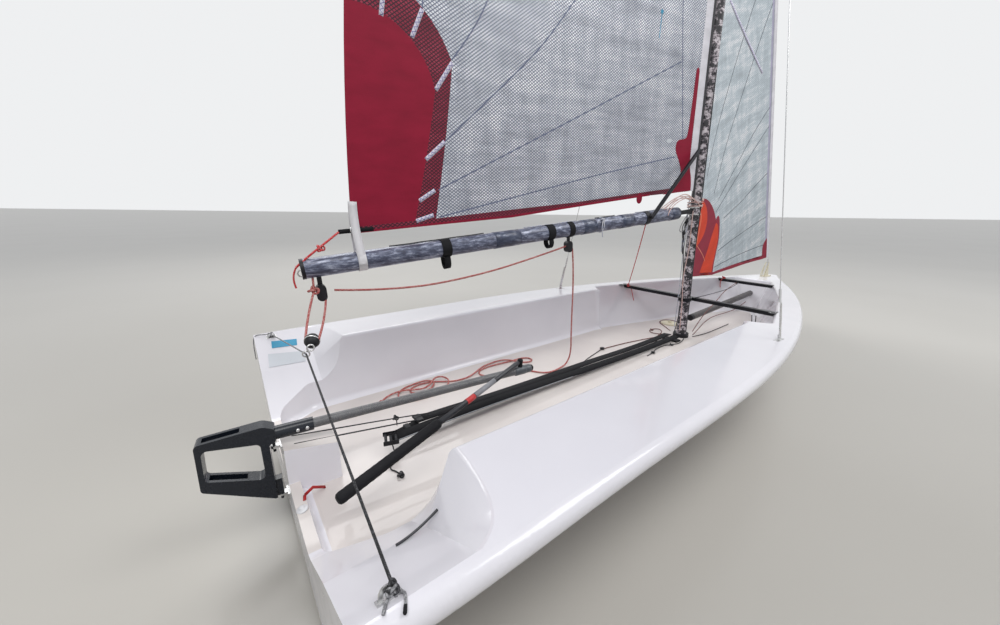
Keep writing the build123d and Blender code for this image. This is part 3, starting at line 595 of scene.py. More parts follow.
def knot(name, place, radius, material, size=1.25, tilt=0.0, body=HULL):
    """Overhand knot, as a closed trefoil of the rope."""
    turn = Matrix.Rotation(tilt, 3, "X") @ Matrix.Rotation(tilt * 1.7, 3, "Z")
    line = []
    for k in range(KNOT_STEPS):
        t = 2 * math.pi * k / KNOT_STEPS
        loop = (math.sin(t) + 2 * math.sin(2 * t), math.cos(t) - 2 * math.cos(2 * t), -math.sin(3 * t))
        line.append(place + turn @ (Vector(loop) * radius * size))
    return sweep(name, line, circle(radius, WIRE_SIDES), material, body, closed=True)


def ring(name, place, axis, radius, wire, material, body=HULL):
    side = Vector(axis).orthogonal().normalized()
    other = Vector(axis).normalized().cross(side)
    line = [place + side * x + other * y for x, y in circle(radius, ROUND_SIDES)]
    return sweep(name, line, circle(wire, WIRE_SIDES), material, body, closed=True)


def lathe_into(bm, profile, place, axis, sides=ROUND_SIDES):
    """Adds a turned form: the profile gives distance along the axis and radius."""
    axis = Vector(axis).normalized()
    side = axis.orthogonal().normalized()
    other = axis.cross(side)
    rings = []
    for along, radius in profile:
        centre = place + axis * along
        spokes = [side * x + other * y for x, y in circle(1.0, sides)]
        rings.append([bm.verts.new(centre + spoke * radius) for spoke in spokes])
    for low, high in zip(rings, rings[1:]):
        for k in range(sides):
            bm.faces.new((low[k], low[(k + 1) % sides], high[(k + 1) % sides], high[k]))
    bm.faces.new(rings[0][::-1])
    bm.faces.new(rings[-1])


def lathe(name, profile, place, axis, material, body=HULL, sides=ROUND_SIDES):
    bm = bmesh.new()
    lathe_into(bm, profile, place, axis, sides)
    return finish_mesh(name, bm, material, body)


def cord_block(name, place, size, axis, hang):
    """Small pulley: two dished cheeks, a grooved sheave, a pin and a neck towards where it hangs."""
    axis = Vector(axis).normalized()
    half = size * 0.32
    bm = bmesh.new()
    cheek = [(half * a, size * b) for a, b in ((0.62, 0.80), (0.75, 1), (1, 0.86), (1.12, 0.35))]
    sheave = [(half * a, size * b) for a, b in ((-0.5, 0.72), (-0.2, 0.52), (0.2, 0.52), (0.5, 0.72))]
    lathe_into(bm, cheek, place, axis)
    lathe_into(bm, cheek, place, -axis)
    lathe_into(bm, sheave, place, axis)
    lathe_into(bm, [(-half * 1.25, size * 0.16), (half * 1.25, size * 0.16)], place, axis)
    neck = [(size * 0.7, size * 0.34), (size * 1.25, size * 0.30), (size * 1.4, size * 0.18)]
    lathe_into(bm, neck, place, hang, 16)
    return finish_mesh(name, bm, "dark", HULL)


def slab(name, corners, thickness, material, lift=UP):
    """Thin plate on its corners, thick towards lift, with softened edges."""
    bm = bmesh.new()
    face = bm.faces.new([bm.verts.new(p) for p in corners])
    made = bmesh.ops.extrude_face_region(bm, geom=[face])
    for v in (e for e in made["geom"] if isinstance(e, bmesh.types.BMVert)):
        v.co += lift.normalized() * thickness
    bmesh.ops.bevel(bm, geom=bm.edges[:], offset=thickness * 0.3, segments=2, affect="EDGES")
    return finish_mesh(name, bm, material, HULL, smooth=False)


hull_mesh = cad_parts["hull"].data
hull_tree = BVHTree.FromPolygons([v.co.copy() for v in hull_mesh.vertices],
                                 [p.vertices[:] for p in hull_mesh.polygons])
ABOVE_DECK = 0.25


def on_hull(station, y, lift=0.0):
    """Point on the hull's upper surface, raised by lift."""
    return hull_tree.ray_cast(at(station, y, ABOVE_DECK), -UP)[0] + UP * lift


def lying(places, lift):
    """Control points of a line that lies on the hull."""
    return [on_hull(station, y, lift) for station, y in places]


# The mainsheet: its tail loose on the sole, and its slack run under the boom
ROPE_RADIUS = 0.004
ROPE_LIFT = 0.0043
ROPE_ROUTE = [
    (1.276, 0.106, 0), (1.238, 0.103, 0), (1.202, 0.114, 0), (1.176, 0.142, 0), (1.157, 0.174, 0),
    (1.136, 0.206, 0), (1.104, 0.226, 0), (1.068, 0.237, 0), (1.030, 0.240, 0), (0.992, 0.241, 0),
    (0.954, 0.247, 0), (0.923, 0.267, 0), (0.911, 0.302, 0), (0.932, 0.333, 0), (0.967, 0.346, 0),
    (1.005, 0.350, 0), (1.043, 0.349, 0), (1.081, 0.346, 0), (1.119, 0.341, 0), (1.157, 0.339, 0),
    (1.195, 0.339, 0), (1.233, 0.334, 0), (1.265, 0.316, 0), (1.264, 0.281, 0), (1.231, 0.267, 0),
    (1.195, 0.280, 0.0019), (1.167, 0.305, 0.0061), (1.144, 0.336, 0.0089), (1.117, 0.362, 0.0078),
    (1.083, 0.377, 0.0038), (1.045, 0.380, 0.0004), (1.008, 0.373, 0.0013), (0.972, 0.360, 0.0041),
    (0.938, 0.341, 0.0061), (0.905, 0.324, 0.0054), (0.870, 0.310, 0.0026), (0.832, 0.304, 0.0003),
    (0.794, 0.305, 0), (0.758, 0.314, 0), (0.724, 0.333, 0), (0.694, 0.356, 0), (0.660, 0.372, 0),
    (0.622, 0.376, 0), (0.584, 0.372, 0), (0.552, 0.353, 0), (0.545, 0.318, 0), (0.575, 0.297, 0),
    (0.613, 0.296, 0.0004), (0.649, 0.308, 0.0038), (0.674, 0.336, 0.0077), (0.667, 0.371, 0.0087),
    (0.635, 0.389, 0.0060), (0.597, 0.393, 0.0018), (0.559, 0.390, 0), (0.523, 0.377, 0),
    (0.496, 0.351, 0), (0.482, 0.316, 0), (0.490, 0.279, 0), (0.517, 0.254, 0), (0.554, 0.244, 0),
    (0.592, 0.244, 0), (0.629, 0.249, 0), (0.667, 0.257, 0.0005), (0.701, 0.272, 0.0037),
    (0.730, 0.296, 0.0072), (0.746, 0.330, 0.0096), (0.733, 0.365, 0.0136), (0.697, 0.370, 0.0170),
    (0.668, 0.347, 0.0168), (0.640, 0.321, 0.0119), (0.604, 0.312, 0.0081), (0.567, 0.322, 0.0096),
    (0.533, 0.339, 0.0114), (0.497, 0.352, 0.0086), (0.460, 0.354, 0.0037), (0.425, 0.340, 0.0009),
    (0.399, 0.312, 0),
]
SHEET_RUN = [(2.075, -0.1825), (1.836, -0.222), (1.479, -0.206), (1.152, -0.155), (0.992, -0.1235)]


def make_cords():
    route = [at(station, y, SOLE + ROPE_LIFT + lift) for station, y, lift in ROPE_ROUTE]
    tail = rope("mainsheet_tail_rope", route, ROPE_RADIUS, "red_rope")
    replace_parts(tail, "mainsheet_tail")
    end = knot("mainsheet_end_knot", at(0.396, 0.303, SOLE + 0.0095), ROPE_RADIUS, "red_rope")
    run = [in_sail_plane(u, v) for u, v in SHEET_RUN]
    slack = rope("mainsheet_slack_run", run, ROPE_RADIUS, "red_rope", BOOM)
    tuple(run[0])


# Sails
class Cloth:
    """A cylindrical sheet: u runs aft from the luff, v runs up along it, bulging to port."""

    def __init__(self, body, origin, aft, up, front, chord, camber):
        self.body, self.origin, self.aft, self.up = body, origin, aft, up
        self.out = aft.cross(up)
        self.middle = (front + chord) / 2
        half = (chord - front) / 2
        self.radius = (half * half + camber * camber) / (2 * camber)
        self.low = self.radius - camber
        self.parts = []

    def turn(self, u):
        return math.asin(max(-1, min(1, (u - self.middle) / self.radius)))

    def normal(self, u):
        return self.out * math.cos(self.turn(u)) + self.aft * math.sin(self.turn(u))

    def point(self, u, v, lift=0.0):
        bulge = self.radius * math.cos(self.turn(u)) - self.low
        return self.origin + self.aft * u + self.up * v + self.out * bulge + self.normal(u) * lift

    def panel(self, name, outline, material, thickness, step=0.05):
        """Thin closed sheet with the given outline in u and v."""
        bm = bmesh.new()
        face = bm.faces.new([bm.verts.new((u, v, 0)) for u, v in outline])
        bmesh.ops.triangulate(bm, faces=[face])
        low, high = min(u for u, _ in outline), max(u for u, _ in outline)
        cut = math.ceil(low / step) * step
        while cut < high:
            geometry = bm.verts[:] + bm.edges[:] + bm.faces[:]
            bmesh.ops.bisect_plane(bm, geom=geometry, plane_co=(cut, 0, 0), plane_no=(1, 0, 0))
            cut += step
        bmesh.ops.remove_doubles(bm, verts=bm.verts, dist=1e-6)
        copy = bmesh.ops.duplicate(bm, geom=bm.verts[:] + bm.edges[:] + bm.faces[:])
        twin = {v: w for v, w in copy["vert_map"].items() if v in set(bm.verts)}
        back_verts = {e for e in copy["geom"] if isinstance(e, bmesh.types.BMVert)}
        for edge in [e for e in bm.edges if e.is_boundary and e.verts[0] not in back_verts]:
            a, b = edge.verts
            rim = bm.faces.new((a, b, twin[b], twin[a]))
            for side in rim.edges:
                side.smooth = False
        uv = bm.loops.layers.uv.new("UVMap")
        for f in bm.faces:
            for loop in f.loops:
                loop[uv].uv = loop.vert.co.xy
        flat = {v: (v.co.x, v.co.y) for v in bm.verts}
        for v in bm.verts:
            side = -0.5 if v in back_verts else 0.5
            v.co = self.point(*flat[v], side * thickness)
        return self.keep(finish_mesh(name, bm, material, self.body))

    def keep(self, piece):
        self.parts.append(piece)
        return piece

    def stripe(self, name, points, width, material, thickness):
        """Strip of one width along a smooth line in u and v."""
        flat = follow([(u, v, 0) for u, v in points])
        left, right = [], []
        for i, p in enumerate(flat):
            run = (flat[min(i + 1, len(flat) - 1)] - flat[max(i - 1, 0)]).normalized()
            across = Vector((-run.y, run.x, 0)) * width / 2
            left.append((p + across)[:2])
            right.append((p - across)[:2])
        self.panel(name, left + right[::-1], material, thickness)

    def ribbon(self, name, first, last, width, material, thickness):
        """Short tape whose texture runs along it."""
        middle = (first[0] + last[0]) / 2
        line = [self.point(*first), self.point(middle, (first[1] + last[1]) / 2), self.point(*last)]
        self.keep(strap(name, line, width, thickness, material, self.normal(middle), self.body))

    def disc(self, name, u, v, wide, high, material, thickness):
        self.panel(name, [(u + x * wide, v + y * high) for x, y in circle(1.0, 20)], material, thickness)

    def hang(self, node, outline, flat, rests_on):
        sail, *others = self.parts
        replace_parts(sail, node)
        for part in self.parts:
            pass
        flat_area(outline)
        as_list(others)


def flat_area(outline):
    pairs = zip(outline, outline[1:] + outline[:1])
    return abs(sum(a * d - c * b for (a, b), (c, d) in pairs)) / 2


def arc(first, middle, last, count=20):
    """Points on the circle through three points in u and v."""
    (ax, ay), (bx, by), (cx, cy) = first, middle, last
    d = 2 * (ax * (by - cy) + bx * (cy - ay) + cx * (ay - by))
    aa, bb, cc = ax * ax + ay * ay, bx * bx + by * by, cx * cx + cy * cy
    ux = (aa * (by - cy) + bb * (cy - ay) + cc * (ay - by)) / d
    uy = (aa * (cx - bx) + bb * (ax - cx) + cc * (bx - ax)) / d
    radius = math.hypot(ax - ux, ay - uy)
    angles = [math.atan2(y - uy, x - ux) for x, y in (first, middle, last)]
    span = (angles[2] - angles[0]) % (2 * math.pi)
    if (angles[1] - angles[0]) % (2 * math.pi) > span:
        span -= 2 * math.pi
    turns = [angles[0] + span * i / count for i in range(count + 1)]
    return [(ux + radius * math.cos(t), uy + radius * math.sin(t)) for t in turns]


def bowed(*points):
    """Smooth outline stretch through control points in u and v."""
    return [q.to_tuple()[:2] for q in follow(points)]


LUFF = 0.0083
STAY_LUFF = 0.0053
main = Cloth(BOOM, PIVOT, BOOM_AFT, MAST_UP, LUFF, 2.1, 0.070)
jib = Cloth(HULL, STAY_FOOT, STAY_AFT, STAY_UP, STAY_LUFF, 1.3, 0.040)
MAIN_CLEW = (1.985, 0.013)
MAIN_LEECH = arc((0.300, 4.640), (1.471, 2.446), MAIN_CLEW, 40)
BATTENS = (1.45, 2.30, 3.10, 3.80)


def leech_u(v):
    """Distance aft of the leech at a height."""
    for (u0, v0), (u1, v1) in zip(MAIN_LEECH, MAIN_LEECH[1:]):
        if v1 <= v <= v0:
            return u0 + (u1 - u0) * (v0 - v) / (v0 - v1)
    return MAIN_LEECH[-1][0]


def make_mainsail():
    outline = [(LUFF, 4.6), (LUFF, 0.12), (0.353, 0.102), (1.263, 0.030)] + MAIN_LEECH[::-1]
    main.panel("mainsail_film", outline, "main_film", 0.0008)
    # plain cloth at the leech behind a long curve, and a band of scrim along it
    top, band_top = 0.745, 0.865
    inner = arc((leech_u(top), top), (1.70, 0.685), (1.608, 0.516))
    inner += arc((1.608, 0.516), (1.659, 0.308), (1.745, 0.018))[1:]
    outer = arc((leech_u(band_top), band_top), (1.62, 0.767), (1.527, 0.62))
    outer += arc((1.527, 0.62), (1.568, 0.394), (1.653, 0.021))[1:]
    edge = [p for p in MAIN_LEECH[::-1] if p[1] < top]
    main.panel("leech_panel", inner + edge, "maroon", 0.0018)
    main.panel("leech_scrim", outer + inner[::-1], "maroon_scrim", 0.0014)
    # foot band, luff tape and tack patch
    foot = [(0.012, 0.135), (0.012, 0.121), (0.353, 0.102), (1.263, 0.030), MAIN_CLEW, (1.985, 0.034)]
    main.panel("foot_band", foot + [(1.643, 0.046), (0.884, 0.083), (0.138, 0.142)], "maroon_scrim", 0.0022)
    hem = [(0.353, 0.112), (0.353, 0.101), (1.263, 0.029), (1.980, 0.012), (1.980, 0.020), (1.263, 0.040)]
    main.panel("foot_hem", hem, "maroon", 0.0040)
    tape = [(0.009, 0.12), (0.060, 0.12), (0.058, 4.55), (0.009, 4.55)]
    main.panel("luff_tape", tape, "white_tape", 0.0024)
    patch = bowed((0.084, 0.755), (0.090, 0.600), (0.098, 0.440), (0.110, 0.405), (0.178, 0.402),
                  (0.187, 0.345), (0.147, 0.290), (0.118, 0.225), (0.155, 0.140), (0.250, 0.104))
    patch += bowed((0.031, 0.122), (0.031, 0.180), (0.062, 0.260), (0.064, 0.420), (0.060, 0.580),
                   (0.060, 0.750))
    patch += bowed((0.060, 0.750), (0.072, 0.786), (0.084, 0.755))
    main.panel("tack_patch", patch, "maroon", 0.0028)
    seams = {
        "a": [(1.629, 0.051), (1.07, 0.151), (0.694, 0.225), (0.185, 0.31)],
        "b": [(1.633, 0.155), (1.235, 0.324), (0.714, 0.552), (0.199, 0.786)],
        "c": [(1.529, 0.632), (1.46, 0.706), (1.361, 0.841), (1.150, 1.25), (0.80, 2.05)],
        "d": [(1.582, 0.341), (1.181, 0.658), (0.992, 0.845), (0.60, 1.32), (0.07, 2.05)],
        "e": [(1.634, 0.775), (1.595, 1.00), (1.50, 1.55), (1.15, 2.75)],
        "f": [(0.134, 0.397), (0.194, 0.80), (0.233, 1.057), (0.30, 1.90)],
    }
    for name, line in seams.items():
        main.stripe(f"main_seam_{name}", line, 0.005, "seam", 0.0014)
    for i, v in enumerate(BATTENS):
        main.stripe(f"batten_{i}", [(0.05, v + 0.03), (leech_u(v) - 0.02, v)], 0.024, "white_tape", 0.003)
    ticks = (((1.76, 0.845), (1.788, 0.724)), ((1.634, 0.775), (1.683, 0.68)),
             ((1.527, 0.623), (1.604, 0.522)), ((1.582, 0.341), (1.669, 0.272)),
             ((1.641, 0.157), (1.712, 0.118)), ((1.656, 0.06), (1.733, 0.041)))
    for i, (first, last) in enumerate(ticks):
        main.ribbon(f"leech_tick_{i}", first, last, STITCH_WIDTH, "stitch", STITCH_THICKNESS)
    main.disc("slug_tab", 0.428, 0.088, 0.020, 0.028, "maroon", 0.003)
    main.disc("tell_tale_dot", 0.366, 0.988, 0.009, 0.009, "blue", 0.003)
    main.stripe("tell_tale_thread", [(0.366, 0.980), (0.372, 0.873)], 0.003, "blue", 0.0034)
    main.disc("oval_sticker", 0.237, 0.394, 0.020, 0.011, "plate", 0.0022)
    main.ribbon("clew_tape", (1.905, 0.024), (2.030, 0.022), 0.016, "black_web", 0.0045)
    for side, name in SIDES:
        web = [main.point(1.968, 0.124, side * 0.002), main.point(1.974, 0.060, side * 0.003),
               on_boom(1.970, side * 0.037, 0.012), on_boom(1.970, side * 0.0385, -0.012)]
        main.keep(strap("clew_web_" + name, web, 0.030, 0.002, "white_web", main.normal(1.97), BOOM))
        eyelet = main.point(1.979, 0.024, side * 0.0065)
        main.keep(ring("clew_eyelet_" + name, eyelet, main.normal(1.98), 0.010, 0.0030, "steel", BOOM))
    main.hang("mainsail", outline, flat=(2.0, 4.63), rests_on=["mast", "boom"])


JIB_CLEW = (1.285, 0.607)
JIB_HEAD = (0.06, 3.79)


def make_jib():
    foot = [(STAY_LUFF, 0.088), (0.105, 0.115), (0.359, 0.207), (0.617, 0.296), (0.942, 0.423)]
    outline = foot + [JIB_CLEW, JIB_HEAD, (STAY_LUFF, 3.78)]
    jib.panel("jib_film", outline, "jib_film", 0.0008)
    # overlapping petals at the clew
    petals = bowed((1.115, 1.049), (1.086, 1.062), (0.984, 1.030), (0.907, 0.960), (0.862, 0.880),
                   (0.845, 0.815))
    petals += bowed((0.845, 0.815), (0.813, 0.842), (0.783, 0.800), (0.790, 0.745))[1:]
    petals += bowed((0.790, 0.745), (0.800, 0.660), (0.862, 0.566), (0.915, 0.490), (0.942, 0.423))[1:]
    jib.panel("clew_petals", petals + [JIB_CLEW], "maroon", 0.0016)
    upper = bowed((1.108, 1.043), (1.087, 1.049), (1.010, 1.020), (0.970, 0.940), (0.985, 0.845),
                  (1.074, 0.774), (1.212, 0.765))
    jib.panel("petal_upper", upper + [(1.222, 0.765)], "orange", 0.0024)
    lower = bowed((1.169, 0.548), (1.012, 0.643), (0.913, 0.742), (0.847, 0.792))
    lower += bowed((0.847, 0.792), (0.818, 0.770), (0.812, 0.730), (0.824, 0.650), (0.880, 0.570),
                   (0.950, 0.470), (0.962, 0.434))[1:]
    jib.panel("petal_lower", lower, "orange", 0.0024)
    line = [(1.111, 1.045), (1.063, 0.961), (1.083, 0.90), (1.128, 0.845), (1.174, 0.785)]
    jib.stripe("petal_line_0", line, 0.010, "petal_pale", 0.0030)
    jib.stripe("petal_line_1", [(1.174, 0.785), (1.074, 0.67), (1.056, 0.60)], 0.006, "petal_pale", 0.0030)
    band = [(0.03, 0.098), (0.105, 0.117), (0.359, 0.209), (0.617, 0.298), (0.942, 0.425), JIB_CLEW,
            (1.270, 0.622), (0.927, 0.438), (0.600, 0.322), (0.118, 0.141), (0.03, 0.125)]
    jib.panel("jib_foot_band", band, "maroon", 0.0024)
    tack = bowed((0.023, 0.289), (0.081, 0.270), (0.108, 0.215), (0.106, 0.118)) + [(0.024, 0.093)]
    jib.panel("jib_tack_patch", tack, "maroon", 0.0028)
    sleeve = [(0.006, 0.09), (0.034, 0.098), (0.040, 3.77), (0.006, 3.775)]
    jib.panel("jib_luff_sleeve", sleeve, "white_tape", 0.006)
    inside = [(0.040, 0.10), (0.062, 0.105), (0.062, 3.70), (0.043, 3.75)]
    jib.panel("jib_luff_band", inside, "lilac_tape", 0.0014)
    jib.panel("jib_leech_tape", [JIB_CLEW, (0.064, 3.78), (0.048, 3.78), (1.262, 0.625)], "maroon", 0.002)
    seams = (
        [(0.725, 0.772), (0.483, 0.775), (0.297, 0.807), (0.06, 0.855)],
        [(0.841, 0.869), (0.73, 0.907), (0.621, 0.947), (0.30, 1.08), (0.06, 1.20)],
        [(0.838, 0.566), (0.572, 0.535), (0.363, 0.514), (0.06, 0.490)],
        [(0.898, 0.464), (0.487, 0.359), (0.06, 0.238)],
        [(0.948, 1.162), (0.856, 1.316), (0.593, 1.624), (0.06, 2.25)],
        [(0.859, 1.01), (0.785, 1.102), (0.646, 1.286), (0.437, 1.5), (0.06, 1.95)],
        [(0.796, 0.942), (0.567, 1.042), (0.312, 1.2), (0.06, 1.33)],
    )
    for i, line in enumerate(seams):
        jib.stripe(f"jib_seam_{i}", line, 0.005, "dark_seam", 0.0014)
    jib.ribbon("jib_stitch", (0.167, 1.575), (0.579, 2.045), STITCH_WIDTH, "stitch", STITCH_THICKNESS)
    jib.hang("jib", outline, flat=(1.29, 3.79), rests_on=["forestay"])


# The mainsheet's purchase, its bridle and the fall to the sole
BRIDLE_RING = at(0.104, 0.060, 0.113)
BALL = at(0.125, 0.060, 0.152)
AFT_BLOCK = on_boom(2.120, 0, -0.092)
MID_BLOCK = on_boom(0.980, 0, -0.084)


def boom_to_hull(name, points, radius, material, start, end):
    """Tube from a point at the boom to a point on the hull, attached to no body."""
    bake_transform(tube(name, points, radius, material, None), BOOM, HULL, tuple(start), tuple(end))


def make_mainsheet():
    tube("bridle_starboard", [BRIDLE_RING, at(0.072, -0.710, 0.006)], 0.0027, "black_rope")
    tube("bridle_port", [BRIDLE_RING, at(0.065, 0.712, 0.002)], 0.0022, "grey_rope")
    laid("bridle_port_end", 0.0020, "grey_rope", at, (0.065, 0.712, 0.002), (0.030, 0.722, 0.004),
         (0.004, 0.729, 0.003), (-0.006, 0.731, -0.030), (-0.004, 0.733, -0.110))
    knot("bridle_port_knot", at(0.064, 0.712, 0.004), 0.0026, "grey_rope")
    knot("bridle_knot_0", at(0.071, -0.711, 0.004), 0.0027, "black_rope", 1.25, 0.3)
    knot("bridle_knot_1", at(0.069, -0.716, 0.002), 0.0024, "grey_rope", 1.2, 1.4)
    tails = ([(0.072, -0.712), (0.064, -0.714), (0.056, -0.724), (0.050, -0.736), (0.046, -0.742)],
             [(0.076, -0.712), (0.084, -0.720), (0.082, -0.736), (0.076, -0.748)])
    for i, tail in enumerate(tails):
        line = lying(tail, 0.004)
        rope(f"bridle_tail_{i}", line, 0.0025, "grey_rope")
    tip = [(0, 0.0028), (0.010, 0.0030), (0.012, 0.0020)]
    lathe("bridle_tail_tip", tip, line[-1], line[-1] - line[-2], "rubber", sides=12)
    ring("bridle_ring", BRIDLE_RING, (0.3, 1, 0.2), 0.010, 0.0022, "steel")
    lean = (AFT_BLOCK - BALL).normalized()
    ball = [(-0.022, 0.006), (-0.019, 0.015), (-0.008, 0.022), (0.008, 0.022), (0.019, 0.015), (0.022, 0.006)]
    lathe("purchase_ball", ball, BALL, lean, "dark")
    ring("purchase_groove", BALL, lean, 0.0215, 0.0022, "steel")
    ring("purchase_shackle", BALL - lean * 0.030, (0, 1, 0), 0.010, 0.0025, "steel")
    beside = Vector((0.794, -0.607, 0))
    becket = in_sail_plane(2.142, -0.1685, -0.022)
    parts = ((becket - UP * 0.004, BALL - beside * 0.0205 + UP * 0.004, -0.008),
             (AFT_BLOCK + beside * 0.008 - UP * 0.026, BALL + beside * 0.0215 + UP * 0.006, 0.010))
    for i, (high, low, bow) in enumerate(parts):
        line = [high, high.lerp(low, 0.5) + beside * bow, low]
        boom_to_hull(f"purchase_part_{i}", line, 0.0038, "red_rope", high, low)
    knot("becket_knot", becket, 0.0040, "red_rope", 1.5, 0.4, BOOM)
    link = [on_boom(2.142, -0.012, -0.033), on_boom(2.144, -0.020, -0.055), becket]
    tube("becket_link", link, 0.0038, "red_rope", BOOM)
    fall = [MID_BLOCK + Vector((0.028, 0, -0.012)), MID_BLOCK + Vector((0.048, -0.002, -0.13)),
            at(1.390, 0.120, -0.073), at(1.400, 0.119, -0.205), at(1.372, 0.120, -0.262),
            at(1.318, 0.111, SOLE + ROPE_LIFT), at(1.276, 0.106, SOLE + ROPE_LIFT)]
    boom_to_hull("mainsheet_fall", fall, ROPE_RADIUS, "red_rope", fall[1], fall[3])


# Lines, wraps and loops on the boom
def make_boom_trim():
    wraps = ((1.278, 1.409), (0.817, 0.901), (0.542, 0.632), (0.153, 0.221))
    for i, (first, last) in enumerate(wraps):
        length = last - first
        profile = [(0, 0.0352), (0.0004, 0.0362), (length / 3, 0.0366), (length * 0.7, 0.0362),
                   (length, 0.0366), (length + 0.0004, 0.0352)]
        lathe(f"boom_wrap_{i}", profile, on_boom(first), BOOM_RUN, "navy_tape", BOOM, 40)
    for i, (reach, drop) in enumerate(((1.639, 0.045), (1.105, 0.034))):
        low = -BOOM_RADIUS - drop
        loop = [on_boom(reach, out, top) for out, top in (
            (-0.020, -0.031), (-0.030, low + 0.018), (-0.004, low - 0.012), (0.026, low + 0.014),
            (0.020, -0.031))]
        strap(f"hanging_loop_{i}", loop, 0.026, 0.0024, "black_web", BOOM_RUN.cross(BOOM_TOP), BOOM)
    ring("boom_tie", on_boom(0.775), BOOM_RUN, 0.0375, 0.0026, "white_rope", BOOM)
    knot("boom_tie_knot", on_boom(0.775, -0.026, 0.030), 0.0026, "white_rope", 1.4, 0.5, BOOM)
    laid("boom_tie_tail", 0.0022, "white_rope", on_boom, (0.775, -0.028, 0.030), (0.79, -0.040, 0.010),
         (0.795, -0.041, -0.020), (0.785, -0.036, -0.060), body=BOOM)
    for side, name in SIDES:
        out = -0.012 + side * 0.006
        line = [in_sail_plane(2.030, 0.022, side * 0.004), in_sail_plane(2.090, -0.018, out),
                on_boom(2.150, out, 0.036), on_boom(2.185, out, 0.010)]
        rope("outhaul_" + name, line, 0.0030, "bright_rope", BOOM)
    laid("outhaul_tail", 0.0030, "bright_rope", on_boom, (2.185, -0.016, 0.010), (2.206, -0.020, -0.020),
         (2.198, -0.022, -0.058), body=BOOM)
    knot("outhaul_knot", in_sail_plane(2.098, -0.028, -0.012), 0.0030, "bright_rope", 1.5, 0.9, BOOM)
    ring("boom_end_ring", on_boom(2.172, -0.010, -0.012), BOOM_PORT, 0.012, 0.0024, "steel", BOOM)
    # a lashing of thin line along the boom's top under the foot
    for i, (first, last) in enumerate(((0.26, 0.50), (0.66, 0.80), (0.93, 1.24), (1.45, 1.86))):
        points = [(first + (last - first) * k / 6, 0.006 * (-1) ** k, 0.0375) for k in range(7)]
        material = "black_rope" if i % 2 else "white_rope"
        laid(f"boom_lacing_{i}", 0.0022, material, on_boom, *points, body=BOOM)


# Lashings and control lines at the mast
BAR_STATION = 2.384


